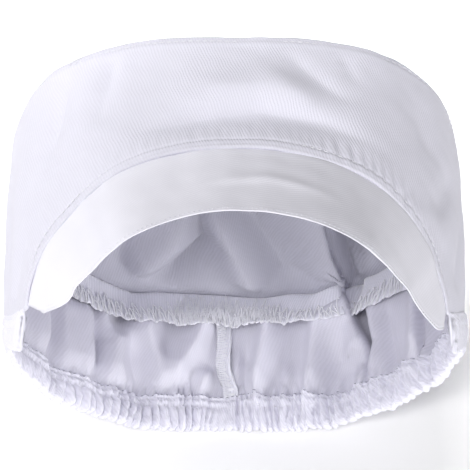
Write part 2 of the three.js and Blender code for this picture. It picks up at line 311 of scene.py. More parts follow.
def crown_fold(
    height: float, left: float, right: float, *path: tuple[float, float], **more: float
) -> Crease:
    """Make a fold of the crown from places given as X and height above the floor."""
    return Crease(tuple((-x, z) for x, z in path), height, left, right, **more)


# Folds of the crown: as the band's, but the path has X and the height over the floor.
# A fold of more than 0 hangs into the cap. On a path that runs down, left is towards -X.
CROWN_FOLDS = (
    crown_fold(-13.0, 7, 10, (-14, 58), (-16, 41), (-13.5, 27), (-21, 16), (-32, 8), (-44, 4),
               start=0.15, end=0.2, sharp=1.3),
    crown_fold(6.5, 10, 8, (-20, 50), (-26, 34), (-36, 20), (-50, 11), start=0.25, end=0.3, sharp=1.8),
    crown_fold(9.0, 11, 7, (-20, 66), (-15.5, 53), (0, 27), (9.5, 10), (14, 0), start=0.25, sharp=1.8),
    crown_fold(-7.0, 7, 10, (-6, 66), (-1, 53), (14, 27), (24, 10), (29, 0), start=0.25, sharp=1.8),
    crown_fold(-2.8, 5, 6, (-49, 50), (-50, 30), (-54, 8), start=0.35, end=0.2),
    crown_fold(2.6, 8, 8, (-66, 50), (-68, 24), start=0.4, end=0.2),
    crown_fold(9.5, 9, 2.0, (24, 80), (30.6, 51), (35, 30), (40, 17), (44.5, 2),
               start=0.35, over=7.4, sharp=2.4),
    crown_fold(-16.5, 2.6, 7.5, (36, 80), (43, 53), (47.5, 36), (50.5, 19), (53, 2), start=0.35, sharp=1.9),
    crown_fold(3.2, 4, 10, (62, 56), (61, 32), (66, 10), start=0.5, end=0.2),
    crown_fold(-2.4, 7, 7, (76, 70), (73, 42), (78, 24), start=0.4, end=0.2),
    # Slack that shows from above and behind
    crown_fold(-2.6, 12, 16, (-50, 130), (-20, 112), (16, 108), (56, 124), start=0.4, end=0.4),
    crown_fold(2.2, 10, 10, (-72, 96), (-40, 90), (-6, 96), start=0.4, end=0.4),
    crown_fold(-2.2, 9, 12, (70, 100), (44, 86), (20, 78), start=0.4, end=0.5),
)


@dataclass(frozen=True)
class Places:
    """Turns, heights and shifts of a grid of points on the side band."""

    turn: np.ndarray
    y: np.ndarray
    inward: np.ndarray
    sideways: np.ndarray


@dataclass
class CapForm:
    """The cap's surfaces, in millimetres from the rim's plane, as the folds leave them."""

    folds: tuple[Crease, ...] = WALL_FOLDS
    crown_folds: tuple[Crease, ...] = CROWN_FOLDS
    gathers: list[Crease] = field(default_factory=list)
    crown_middle: float = 88.0
    crown_slope: float = 0.26
    gather_seed: int = 7
    gather_count: int = 58
    gathered_turns: tuple[float, float] = (96, 262)
    calm_turn: float = 185.0  # the back seam, where the gathers are lowest
    calm_reach: float = 10.0
    weak_from: float = 236.0  # from this turn on the gathers are weaker
    weak_share: float = 0.45
    draw_turn: float = 121.0  # where the back is drawn in
    draw_depth: float = 5.0
    draw_round: float = 17.0  # how many degrees to each side it reaches
    draw_height: float = 4.0
    draw_up: float = 60.0
    held_turns: tuple[float, float] = (84.0, 274.0)  # where the casing holds the band's folds down
    held_fade: float = 10.0
    drag_reach: float = 26.0
    drag_share: float = 0.16
    casing_reach: float = 13.0
    casing_share: float = 0.36
    casing_sink: float = 0.7
    drops: np.ndarray | None = None

    def __post_init__(self) -> None:
        """Lay out the small gathers that the elastic draws into the back wall."""
        rng = np.random.default_rng(self.gather_seed)
        places = np.linspace(*self.gathered_turns, self.gather_count)
        for place in places + rng.uniform(-1.3, 1.3, self.gather_count):
            calm = float(np.clip(abs(place - self.calm_turn) / self.calm_reach, 0.05, 1))
            left_end = self.weak_share if place > self.weak_from else 1.0
            height = rng.uniform(2.0, 3.8) * calm * left_end
            width = rng.uniform(0.85, 1.4)
            reach = rng.uniform(5, 15)
            lean = rng.uniform(-2.2, 2.2)
            foot = float(CASING.at(place, "top"))
            tip, bend = (place + lean, foot + reach), (place + lean * 0.3, foot + reach * 0.45)
            self.gathers.append(
                wall_fold(height, width, width, tip, bend, (place, foot - 6), start=0.75, sharp=1.5)
            )

    def outer_radius(self, turn: np.ndarray, y: np.ndarray, proud: float = 0.0) -> np.ndarray:
        """Give the outer cloth's distance from the axis, cut off where the back lies on the floor.

        Args:
            turn: Degrees round the cap.
            y: Millimetres above the rim.
            proud: Millimetres outside the plain section.

        Returns:
            Radii in millimetres.
        """
        across, towards = np.abs(np.sin(np.radians(turn))), np.cos(np.radians(turn))
        front = towards > 0
        power = np.where(front, SECTIONS.at(y, "front_power"), SECTIONS.at(y, "back_power"))
        reach = np.where(front, SECTIONS.at(y, "front_rise"), SECTIONS.at(y, "back_drop"))
        wide, tall = across / SECTIONS.at(y, "half_width"), np.abs(towards) / reach
        oval = (wide**power + tall**power) ** (-1 / power)
        floor = LEVEL / np.maximum(-towards, 1e-6)
        return np.where(front, oval + proud, np.minimum(oval + proud, floor))

    def side_draw(self, turn: np.ndarray, y: np.ndarray) -> np.ndarray:
        """Give how far the back is drawn in on the +X side.

        Args:
            turn: Degrees round the cap.
            y: Millimetres above the rim.

        Returns:
            Millimetres into the cap.
        """
        aside = turn_between(turn, self.draw_turn) / self.draw_round
        along = (y - self.draw_height) / self.draw_up
        return self.draw_depth * np.exp(-(aside**2) - along**2)

    def shifts(self, turn: np.ndarray, y: np.ndarray) -> tuple[np.ndarray, np.ndarray]:
        """Add up the folds of the band.

        Args:
            turn: Degrees round the cap.
            y: Millimetres above the rim.

        Returns:
            How far each point moves into the cap and how far it moves towards smaller turns.
        """
        turn, y = np.broadcast_arrays(np.asarray(turn, float), np.asarray(y, float))
        inward, sideways, gathered = self.side_draw(turn, y), np.zeros(turn.shape), np.zeros(turn.shape)
        for fold in (*self.folds, *self.gathers):
            total = gathered if fold in self.gathers else inward
            middle = np.mean([u for u, _ in fold.path]) / TURN_MM
            u = (middle + turn_between(turn, middle)) * TURN_MM
            path = np.array(fold.path)
            margin = 3.2 * max(fold.left, fold.right)
            near = (u > path[:, 0].min() - margin) & (u < path[:, 0].max() + margin)
            if not near.any():
                continue
            rise = fold.rise(u[near], y[near])
            total[near] += fold.height * rise
            sideways[near] += fold.over * rise
        u = turn * TURN_MM
        inward = inward + 0.5 * ripple(u, y, pitch=36, seed=3) + 0.12 * ripple(u, y, pitch=13, seed=5)
        round_turn = np.mod(turn, 360)
        first, last = self.held_turns
        behind = ease((round_turn - first) / self.held_fade) * ease((last - round_turn) / self.held_fade)
        above = ease((y - CASING.at(round_turn, "top")) / self.casing_reach)
        held = 1 - behind * (1 - self.casing_share) * (1 - above)
        draw = self.side_draw(turn, y)
        sunk = self.casing_sink * behind * swell(y - CASING.at(round_turn, "top"), 2.2)
        return draw + (inward - draw) * held + gathered - sunk, sideways * held

    def places(self, turn: np.ndarray, y: np.ndarray) -> Places:
        """Measure a grid of band points once, for use at several depths."""
        inward, sideways = self.shifts(turn, y)
        return Places(turn, y, inward, sideways)

    def wall(self, at: Places, depth: np.ndarray | float) -> np.ndarray:
        """Give points of the side wall.

        Args:
            at: Places on the band.
            depth: Millimetres below the outer face.

        Returns:
            Points in millimetres.
        """
        turn = at.turn - at.sideways / TURN_MM
        drag = self.seam_drop(at.turn) * ease(1 + (at.y - self.wall_top(at.turn)) / self.drag_reach)
        return self.place(turn, at.y - drag, self.outer_radius(at.turn, at.y) - at.inward - depth)

    def crown_hang(self, x: np.ndarray, z: np.ndarray) -> np.ndarray:
        """Add up how far the crown's folds hang into the cap."""
        return sum(fold.height * fold.rise(-x, z) for fold in self.crown_folds)

    def plain_rim(self, turn: np.ndarray) -> np.ndarray:
        """Give the crown's edge as it would run without the band's folds.

        Args:
            turn: Degrees round the cap.

        Returns:
            Points in millimetres.
        """
        top = self.wall_top(turn)
        unfolded = Places(turn, top, self.side_draw(turn, top), 0 * top)
        return self.shoulder_point(unfolded, 90.0, 0.0, drop=0.0)

    def seam_drop(self, turn: np.ndarray) -> np.ndarray:
        """Give how far the crown's folds draw its seam towards the rim.

        Args:
            turn: Degrees round the cap.

        Returns:
            Millimetres towards the rim.
        """
        if self.drops is None:
            places = np.arange(0.0, 360.0)
            rim = self.plain_rim(places)
            self.drops = self.crown_hang(rim[:, 0], rim[:, 2]) * self.drag_share
        return np.interp(np.mod(turn, 360), np.arange(361.0), np.append(self.drops, self.drops[0]))

    @staticmethod
    def place(turn: np.ndarray, y: np.ndarray, radius: np.ndarray) -> np.ndarray:
        """Set points at a turn, a height above the rim and a distance from the axis."""
        angle = np.radians(turn)
        return np.stack(np.broadcast_arrays(radius * np.sin(angle), y, LEVEL + radius * np.cos(angle)), -1)

    @staticmethod
    def crown_edge(turn: np.ndarray) -> np.ndarray:
        """Give the height of the crown's edge."""
        return CROWN_EDGE.at(np.mod(turn, 360), "y")

    @staticmethod
    def shoulder(turn: np.ndarray) -> np.ndarray:
        """Give the radius of the rounded shoulder, tight behind."""
        return 7 + 2 * np.cos(np.radians(turn))

    def wall_top(self, turn: np.ndarray) -> np.ndarray:
        """Give the height at which the wall starts to bend over."""
        return self.crown_edge(turn) - self.shoulder(turn)

    def shoulder_point(
        self, at: Places, bend: np.ndarray | float, depth: np.ndarray | float, drop: float = 1.0
    ) -> np.ndarray:
        """Give points of the shoulder.

        Args:
            at: Places at the wall's top.
            bend: Degrees round from the wall.
            depth: Millimetres below the outer face.
            drop: The share of the seam's drop to take in.

        Returns:
            Points in millimetres.
        """
        curve = self.shoulder(at.turn) - depth
        turn = at.turn - at.sideways / TURN_MM
        radius = self.outer_radius(at.turn, at.y) - at.inward - self.shoulder(at.turn)
        bend = np.radians(bend)
        low = self.seam_drop(at.turn) * drop if drop else 0.0
        return self.place(turn, at.y + curve * np.sin(bend) - low, radius + curve * np.cos(bend))

    def band_edge(self, turn: np.ndarray, clear: float = 0.2) -> np.ndarray:
        """Give the height of the band's lower edge, the visor's seam in front and the casing's top behind.

        Args:
            turn: Degrees round the cap.
            clear: Millimetres between the band and the casing.

        Returns:
            Millimetres above the rim.
        """
        signed = turn_between(turn, 0)
        in_front = (signed >= VISOR_START) & (signed <= VISOR_END)
        return np.where(in_front, VISOR.at(signed, "seam"), CASING.at(np.mod(turn, 360), "top") + clear)


def metres(points: np.ndarray) -> np.ndarray:
    """Bring points from the rim's frame in millimetres to the object's frame in metres.

    Args:
        points: Points above the rim's plane and the floor.

    Returns:
        The points, none of them under the floor.
    """
    moved = points.copy()
    moved[..., 1] -= MIDDLE_Y
    moved[..., 2] = np.maximum(moved[..., 2], 0.0)
    return moved * MM


def grid_normals(points: np.ndarray, wraps: bool) -> np.ndarray:
    """Find the unit normals of a grid of points.

    Args:
        points: Rows and columns of points.
        wraps: Whether the last column meets the first.

    Returns:
        The cross product of the column and row directions, made unit.
    """
    if wraps:
        across = np.roll(points, -1, 1) - np.roll(points, 1, 1)
    else:
        across = np.gradient(points, axis=1)
    up = np.gradient(points, axis=0)
    normal = np.cross(across, up)
    return normal / np.maximum(np.linalg.norm(normal, axis=2, keepdims=True), 1e-9)


def faces_between(rows: int, columns: int, wraps_rows: bool, wraps_columns: bool) -> np.ndarray:
    """List the quads of a grid of vertices numbered row by row.

    Args:
        rows: Rows of vertices.
        columns: Vertices in each row.
        wraps_rows: Whether the last row meets the first.
        wraps_columns: Whether the last column meets the first.

    Returns:
        Four vertex numbers for each face.
    """
    i = np.arange(rows if wraps_rows else rows - 1)
    j = np.arange(columns if wraps_columns else columns - 1)
    i, j = np.meshgrid(i, j, indexing="ij")
    k, m = (i + 1) % rows, (j + 1) % columns
    return np.stack([i * columns + j, i * columns + m, k * columns + m, k * columns + j], -1).reshape(-1, 4)


def mesh_object(
    name: str, points: np.ndarray, faces: list[list[int]], uv: np.ndarray | None = None
) -> bpy.types.Object:
    """Make a smooth mesh object at the origin.

    Args:
        name: The object's name.
        points: Vertices in metres.
        faces: Corner numbers of each face.
        uv: One pair for each corner, in metres of cloth.

    Returns:
        The linked object.
    """
    mesh = bpy.data.meshes.new(name)
    mesh.from_pydata(points.tolist(), [], faces)
    if uv is not None:
        layer = mesh.uv_layers.new(name=CLOTH_MAP)
        layer.data.foreach_set("uv", np.ascontiguousarray(uv, np.float32).ravel())
    mesh.polygons.foreach_set("use_smooth", np.ones(len(mesh.polygons), bool))
    mesh.update()
    made = bpy.data.objects.new(name, mesh)
    bpy.context.scene.collection.objects.link(made)
    return made


def side_faces(rows: int, columns: int) -> list[list[int]]:
    """List the faces that close the two open sides of a shell.

    Args:
        rows: Rows of vertices round the shell.
        columns: Vertices in each row.

    Returns:
        The vertex numbers of each face: quads between the two layers, and a triangle at the low edge.
    """
    high_edge, last_inner, low_edge = rows // 2 - 1, rows - 2, rows - 1
    # At the high edge two corners of the last quad are the same vertex
    strip = [[row, row + 1, last_inner - row - 1, last_inner - row] for row in range(high_edge)]
    strip.append([low_edge, 0, last_inner])
    sides = []
    for column, flip in ((0, False), (columns - 1, True)):
        sides += [[row * columns + column for row in (face if flip else face[::-1])] for face in strip]
    return sides


def cloth_shell(
    name: str, middle: np.ndarray, thickness: np.ndarray | float, u: np.ndarray, v: np.ndarray, wraps: bool
) -> bpy.types.Object:
    """Give a grid of points a cloth's thickness, with round edges.

    Args:
        name: The object's name.
        middle: Rows and columns of points half way through the cloth, in millimetres.
        thickness: The cloth's thickness.
        u: Cloth across, one more column than the points where the grid wraps.
        v: Cloth upwards.
        wraps: Whether the last column meets the first.

    Returns:
        The closed shell.
    """
    normal = grid_normals(middle, wraps)
    half = np.broadcast_to(np.asarray(thickness, float) / 2, middle.shape[:2])[..., None]
    outer, inner = middle + normal * half, middle - normal * half
    low = middle[:1] + unit(middle[:1] - middle[1:2]) * half[:1] * ROUNDING
    high = middle[-1:] + unit(middle[-1:] - middle[-2:-1]) * half[-1:] * ROUNDING
    ring = np.concatenate([outer, high, inner[::-1], low])
    rows, columns = ring.shape[:2]
    faces = faces_between(rows, columns, True, wraps)
    u_ring = np.concatenate([u, u[-1:], u[::-1], u[:1]])
    v_ring = np.concatenate([v, v[-1:], v[::-1], v[:1]])
    quads_across = columns if wraps else columns - 1
    i, j = np.divmod(np.arange(rows * quads_across), quads_across)
    k = (i + 1) % rows
    corners = [(i, j), (i, j + 1), (k, j + 1), (k, j)]
    uv = np.stack([np.stack([u_ring[a, b], v_ring[a, b]], -1) for a, b in corners], 1) * MM
    sides = [] if wraps else side_faces(rows, columns)
    side_uv = np.zeros((sum(len(side) for side in sides), 2))
    corner_uv = np.concatenate([uv.reshape(-1, 2), side_uv])
    made = mesh_object(name, metres(ring.reshape(-1, 3)), faces.tolist() + sides, corner_uv)
    point_out(made)
    return made


def unit(vectors: np.ndarray) -> np.ndarray:
    """Make vectors one long."""
    return vectors / np.maximum(np.linalg.norm(vectors, axis=-1, keepdims=True), 1e-9)


def point_out(made: bpy.types.Object) -> None:
    """Turn a closed mesh's faces outwards.

    Args:
        made: The object, whose mesh is turned round if its volume comes out below 0.
    """
    mesh = made.data
    points = np.empty(len(mesh.vertices) * 3)
    mesh.vertices.foreach_get("co", points)
    points = points.reshape(-1, 3)
    mesh.calc_loop_triangles()
    corners = np.empty(len(mesh.loop_triangles) * 3, int)
    mesh.loop_triangles.foreach_get("vertices", corners)
    a, b, c = points[corners.reshape(-1, 3)].transpose(1, 0, 2)
    if (a * np.cross(b, c)).sum() < 0:
        mesh.flip_normals()


@dataclass
class Wiring:
    """A node tree under construction, in a maker's short hand."""

    tree: bpy.types.NodeTree

    def add(self, kind: str, settings: dict | None = None, **inputs: object) -> bpy.types.Node:
        """Add a node.

        Args:
            kind: The node's type.
            settings: Properties of the node itself.
            inputs: Values or sockets for its inputs, by name with underscores, or input_0 by number.

        Returns:
            The node.
        """
        node = self.tree.nodes.new(kind)
        for name, value in (settings or {}).items():
            setattr(node, name, value)
        for name, value in inputs.items():
            if name.startswith("input_"):
                socket = node.inputs[int(name[6:])]
            else:
                wanted = name.replace("_", " ").lower()
                socket = next(s for s in node.inputs if s.name.lower() == wanted and s.enabled)
            if isinstance(value, bpy.types.NodeSocket):
                self.tree.links.new(value, socket)
            else:
                socket.default_value = value
        return node

    def math(self, operation: str, *values: object) -> bpy.types.NodeSocket:
        """Add a Math node of the tree's kind and give its output."""
        inputs = {f"input_{i}": v for i, v in enumerate(values)}
        return self.add("ShaderNodeMath", {"operation": operation}, **inputs).outputs[0]

    def attribute(self, name: str) -> bpy.types.NodeSocket:
        """Read a vector that the guide's points carry."""
        kind = {"data_type": "FLOAT_VECTOR"}
        return self.add("GeometryNodeInputNamedAttribute", kind, name=name).outputs[0]

    def noise(self, place: bpy.types.NodeSocket, scale: float, detail: float) -> bpy.types.NodeSocket:
        """Add flat noise on a cloth's map and give its output."""
        settings = {"noise_dimensions": "2D"}
        return self.add("ShaderNodeTexNoise", settings, vector=place, scale=scale, detail=detail).outputs[0]

    def vector(self, operation: str, *values: object, scale: object = None) -> bpy.types.NodeSocket:
        """Add a Vector Math node.

        Args:
            operation: What the node does.
            values: Vectors or sockets for its inputs, in order.
            scale: The factor of a SCALE node.

        Returns:
            The node's output.
        """
        inputs = {f"input_{i}": v for i, v in enumerate(values)}
        if scale is not None:
            inputs["scale"] = scale
        return self.add("ShaderNodeVectorMath", {"operation": operation}, **inputs).outputs[0]


def new_material(name: str) -> tuple[bpy.types.Material, Wiring]:
    """Make a material with an empty node tree.

    Args:
        name: The material's name.

    Returns:
        The material and the wiring of its tree.
    """
    material = bpy.data.materials.new(name)
    material.use_nodes = True
    material.node_tree.nodes.clear()
    return material, Wiring(material.node_tree)


@dataclass(frozen=True)
class TwillFinish:
    """White twill: fine slanting ribs, a little unevenness and a soft sheen."""

    name: str
    colour: tuple[float, float, float]
    rib_mm: float = 1.15
    rib_angle: float = 20.0
    rib_depth: float = 0.05
    rib_wander: float = 1.4  # how far the ribs stray, in millimetres
    yarn_share: float = 0.62  # the cross yarns' pitch as a share of the ribs'
    yarn_height: float = 0.35
    fuzz: float = 1.2
    shade: float = 0.06  # how much darker the hollows are
    roughness: float = 0.88
    sheen: float = 0.15

    def build(self) -> bpy.types.Material:
        """Wire the material on the piece's own cloth map, in metres.

        Returns:
            The material.
        """
        material, w = new_material(self.name)
        per_metre = 1 / MM
        uv = w.add("ShaderNodeUVMap", {"uv_map": CLOTH_MAP}).outputs[0]
        spread = w.add("ShaderNodeMapping", input_0=uv, input_1=(0, 0, 0), input_3=(per_metre,) * 3)
        cloth = spread.outputs[0]
        split = w.add("ShaderNodeSeparateXYZ", input_0=cloth)
        over, up = split.outputs[0], split.outputs[1]
        angle = math.radians(self.rib_angle)
        slant = w.math("ADD", w.math("MULTIPLY", over, math.cos(angle)),
                       w.math("MULTIPLY", up, math.sin(angle)))
        wander = w.math("MULTIPLY", w.noise(cloth, 0.12, 2.0), self.rib_wander)
        rib = w.math("SINE", w.math("MULTIPLY", w.math("ADD", slant, wander), 2 * math.pi / self.rib_mm))
        yarn_slant = w.math("SUBTRACT", up, w.math("MULTIPLY", over, 0.5))
        yarn_phase = w.math("MULTIPLY", yarn_slant, 2 * math.pi / (self.rib_mm * self.yarn_share))
        yarn = w.math("MULTIPLY", w.math("SINE", yarn_phase), self.yarn_height)
        fuzz = w.math("MULTIPLY", w.noise(cloth, 1.9, 3.0), self.fuzz)
        weave = w.math("ADD", w.math("ADD", rib, yarn), fuzz)
        bump = w.add("ShaderNodeBump", strength=0.55, distance=self.rib_depth * MM, height=weave)
        patch = w.math("MULTIPLY", w.noise(cloth, 0.035, 3.0), 0.5)
        mixed = w.math("ADD", patch, w.math("MULTIPLY", w.math("ADD", rib, 1.0), 0.25))
        ramp = w.add("ShaderNodeValToRGB", input_0=mixed)
        dark = tuple(c * (1 - self.shade) for c in self.colour)
        ramp.color_ramp.elements[0].position = 0.15
        ramp.color_ramp.elements[0].color = (*dark, 1)
        ramp.color_ramp.elements[1].position = 0.8
        ramp.color_ramp.elements[1].color = (*self.colour, 1)
        shader = w.add("ShaderNodeBsdfPrincipled", base_color=ramp.outputs[0], normal=bump.outputs[0],
                       roughness=self.roughness, sheen_weight=self.sheen, sheen_roughness=0.5,
                       specular_ior_level=0.25)
        w.add("ShaderNodeOutputMaterial", surface=shader.outputs[0])
        return material


@dataclass(frozen=True)
class ThreadFinish:
    """Sewing thread: nearly plain, with a fine twist along its object."""

    name: str
    colour: tuple[float, float, float]
    roughness: float = 0.7
    sheen: float = 0.2

    def build(self) -> bpy.types.Material:
        """Wire the material on the object's coordinates.

        Returns:
            The material.
        """
        material, w = new_material(self.name)
        place = w.add("ShaderNodeTexCoord").outputs["Object"]
        fibre = w.add("ShaderNodeTexNoise", vector=place, scale=2600.0, detail=2.0)
        bump = w.add("ShaderNodeBump", strength=0.5, distance=0.00006, height=fibre.outputs[0])
        tone = w.add("ShaderNodeTexNoise", vector=place, scale=90.0, detail=1.0)
        ramp = w.add("ShaderNodeValToRGB", input_0=tone.outputs[0])
        ramp.color_ramp.elements[0].color = (*(c * 0.93 for c in self.colour), 1)
        ramp.color_ramp.elements[1].color = (*self.colour, 1)
        shader = w.add("ShaderNodeBsdfPrincipled", base_color=ramp.outputs[0], normal=bump.outputs[0],
                       roughness=self.roughness, sheen_weight=self.sheen, sheen_roughness=0.5,
                       specular_ior_level=0.3)
        w.add("ShaderNodeOutputMaterial", surface=shader.outputs[0])
        return material


def dress(made: bpy.types.Object, material: bpy.types.Material) -> None:
    """Give an object one material."""
    made.data.materials.clear()
    made.data.materials.append(material)


def guide(name: str, lines: list[np.ndarray], vectors: dict[str, list[np.ndarray]]) -> bpy.types.Object:
    """Make edges for Geometry Nodes to follow.

    Args:
        name: The object's name.
        lines: Points of each line, in metres.
        vectors: For each attribute, the vectors of each line's points.

    Returns:
        The object with its edges.
    """
    edges, count = [], 0
    for line in lines:
        edges += [(count + i, count + i + 1) for i in range(len(line) - 1)]
        count += len(line)
    mesh = bpy.data.meshes.new(name)
    mesh.from_pydata(np.concatenate(lines).tolist(), edges, [])
    for attribute, values in vectors.items():
        made = mesh.attributes.new(attribute, "FLOAT_VECTOR", "POINT")
        made.data.foreach_set("vector", np.concatenate(values).astype(np.float32).ravel())
    mesh.update()
    thing = bpy.data.objects.new(name, mesh)
    bpy.context.scene.collection.objects.link(thing)
    return thing


def grow(made: bpy.types.Object, tree: bpy.types.NodeTree, values: dict[str, float]) -> bpy.types.Object:
    """Run a geometry tree on an object and keep the result as its plain mesh.

    Args:
        made: The guide object.
        tree: The geometry tree.
        values: The tree's inputs by name.

    Returns:
        The same object with its new mesh.
    """
    modifier = made.modifiers.new("grow", "NODES")
    modifier.node_group = tree
    names = {item.name: item.identifier for item in tree.interface.items_tree if item.in_out == "INPUT"}
    for name, value in values.items():
        modifier[names[name]] = value
    graph = bpy.context.evaluated_depsgraph_get()
    mesh = bpy.data.meshes.new_from_object(made.evaluated_get(graph))
    mesh.name = made.name
    made.modifiers.remove(modifier)
    old = made.data
    made.data = mesh
    bpy.data.meshes.remove(old)
    return made


def open_tree(name: str, sizes: dict[str, float], seed: int) -> tuple[Wiring, bpy.types.Node]:
    """Start a geometry tree with a geometry socket each way and named sizes.

    Args:
        name: The tree's name.
        sizes: Names and defaults of its number inputs.
        seed: Default of its Seed input.

    Returns:
        The wiring and the tree's input node.
    """
    tree = bpy.data.node_groups.new(name, "GeometryNodeTree")
    tree.interface.new_socket("Geometry", in_out="INPUT", socket_type="NodeSocketGeometry")
    for size, default in sizes.items():
        socket = tree.interface.new_socket(size, in_out="INPUT", socket_type="NodeSocketFloat")
        socket.default_value = default
    socket = tree.interface.new_socket("Seed", in_out="INPUT", socket_type="NodeSocketInt")
    socket.default_value = seed
    tree.interface.new_socket("Geometry", in_out="OUTPUT", socket_type="NodeSocketGeometry")
    wiring = Wiring(tree)
    return wiring, wiring.add("NodeGroupInput")


def close_tree(
    w: Wiring, geometry: bpy.types.NodeSocket, material: bpy.types.Material
) -> bpy.types.NodeTree:
    """End a tree in Realize Instances, smooth shading and Set Material.

    Args:
        w: The tree's wiring.
        geometry: What the tree has made.
        material: The thread's material.

    Returns:
        The finished tree.
    """
    real = w.add("GeometryNodeRealizeInstances", geometry=geometry).outputs[0]
    smooth = w.add("GeometryNodeSetShadeSmooth", geometry=real).outputs[0]
    dressed = w.add("GeometryNodeSetMaterial", geometry=smooth, material=material).outputs[0]
    w.add("NodeGroupOutput", geometry=dressed)
    return w.tree


def stitch_tree(name: str, material: bpy.types.Material) -> bpy.types.NodeTree:
    """Build the tree that sets single stitches along guide edges.

    Args:
        name: The tree's name.
        material: The thread's material.

    Returns:
        The tree, with Pitch, Length, Width, Height, Lift and Seed.
    """
    sizes = {"Pitch": 0.003, "Length": 0.0022, "Width": 0.0006, "Height": 0.0004, "Lift": 0.0001}
    w, given = open_tree(name, sizes, 4)
    curve = w.add("GeometryNodeMeshToCurve", mesh=given.outputs["Geometry"]).outputs[0]
    pitch = given.outputs["Pitch"]
    spots = w.add("GeometryNodeCurveToPoints", {"mode": "LENGTH"}, curve=curve, length=pitch)
    outward = w.attribute("outward")
    lifted = w.add("GeometryNodeSetPosition", geometry=spots.outputs["Points"],
                   offset=w.vector("SCALE", outward, scale=given.outputs["Lift"])).outputs[0]
    tangent = spots.outputs["Tangent"]
    along = w.add("FunctionNodeAlignRotationToVector", {"axis": "X"}, vector=tangent).outputs[0]
    up = w.add("FunctionNodeAlignRotationToVector", {"axis": "Z", "pivot_axis": "X"}, rotation=along,
               vector=outward).outputs[0]
    ball = w.add("GeometryNodeMeshUVSphere", segments=8, rings=5, radius=0.5).outputs[0]
    size = w.add("ShaderNodeCombineXYZ", input_0=given.outputs["Length"], input_1=given.outputs["Width"],
                 input_2=given.outputs["Height"]).outputs[0]
    stitch = w.add("GeometryNodeTransform", geometry=ball, scale=size).outputs[0]
    uneven = w.add("FunctionNodeRandomValue", {"data_type": "FLOAT_VECTOR"}, input_0=(0.85, 0.85, 0.8),
                   input_1=(1.1, 1.15, 1.2), seed=given.outputs["Seed"]).outputs[0]
    row = w.add("GeometryNodeInstanceOnPoints", points=lifted, instance=stitch, rotation=up, scale=uneven)
    return close_tree(w, row.outputs[0], material)


def overlock_tree(name: str, material: bpy.types.Material) -> bpy.types.NodeTree:
    """Build the tree that runs a looping thread to and fro across an edge.

    Args:
        name: The tree's name.
        material: The thread's material.

    Returns:
        The tree, with Pitch, Thread, Arch, Unevenness and Seed.
    """
    sizes = {"Pitch": 0.0027, "Thread": 0.0003, "Arch": 0.0006, "Unevenness": 0.3}
    steps, lean_by = 6.0, 0.0009
    w, given = open_tree(name, sizes, 9)
    curve = w.add("GeometryNodeMeshToCurve", mesh=given.outputs["Geometry"]).outputs[0]
    step = w.math("DIVIDE", given.outputs["Pitch"], steps)
    fine = w.add("GeometryNodeResampleCurve", {"mode": "LENGTH"}, curve=curve, length=step).outputs[0]
    number = w.add("GeometryNodeInputIndex").outputs[0]
    loop = w.math("FLOOR", w.math("DIVIDE", number, steps))
    swing = w.math("ABSOLUTE", w.math("SINE", w.math("MULTIPLY", number, math.pi / steps)))
    swing = w.math("POWER", swing, 0.75)
    low = w.math("SUBTRACT", 1.0, given.outputs["Unevenness"])
    high = w.math("ADD", 1.0, w.math("MULTIPLY", given.outputs["Unevenness"], 0.3))
    number_kind = {"data_type": "FLOAT"}
    reach = w.add("FunctionNodeRandomValue", number_kind, input_2=low, input_3=high, id=loop,
                  seed=given.outputs["Seed"]).outputs[1]
    lean = w.add("FunctionNodeRandomValue", number_kind, input_2=-lean_by, input_3=lean_by, id=loop,
                 seed=w.math("ADD", given.outputs["Seed"], 1.0)).outputs[1]
    tangent = w.add("GeometryNodeInputTangent").outputs[0]
    forward = w.vector("SCALE", w.attribute("across"), scale=w.math("MULTIPLY", swing, reach))
    aside = w.vector("SCALE", tangent, scale=w.math("MULTIPLY", swing, lean))
    arch = w.math("MULTIPLY", swing, w.math("SUBTRACT", 1.25, swing))
    height = w.math("MULTIPLY", given.outputs["Arch"], 2.6)
    rise = w.vector("SCALE", w.attribute("outward"), scale=w.math("MULTIPLY", arch, height))
    offset = w.vector("ADD", w.vector("ADD", forward, aside), rise)
    moved = w.add("GeometryNodeSetPosition", geometry=fine, offset=offset).outputs[0]
    ring = w.add("GeometryNodeCurvePrimitiveCircle", {"mode": "RADIUS"}, resolution=5,
                 radius=w.math("DIVIDE", given.outputs["Thread"], 2.0)).outputs[0]
    thread = w.add("GeometryNodeCurveToMesh", curve=moved, profile_curve=ring, fill_caps=True).outputs[0]
    return close_tree(w, thread, material)


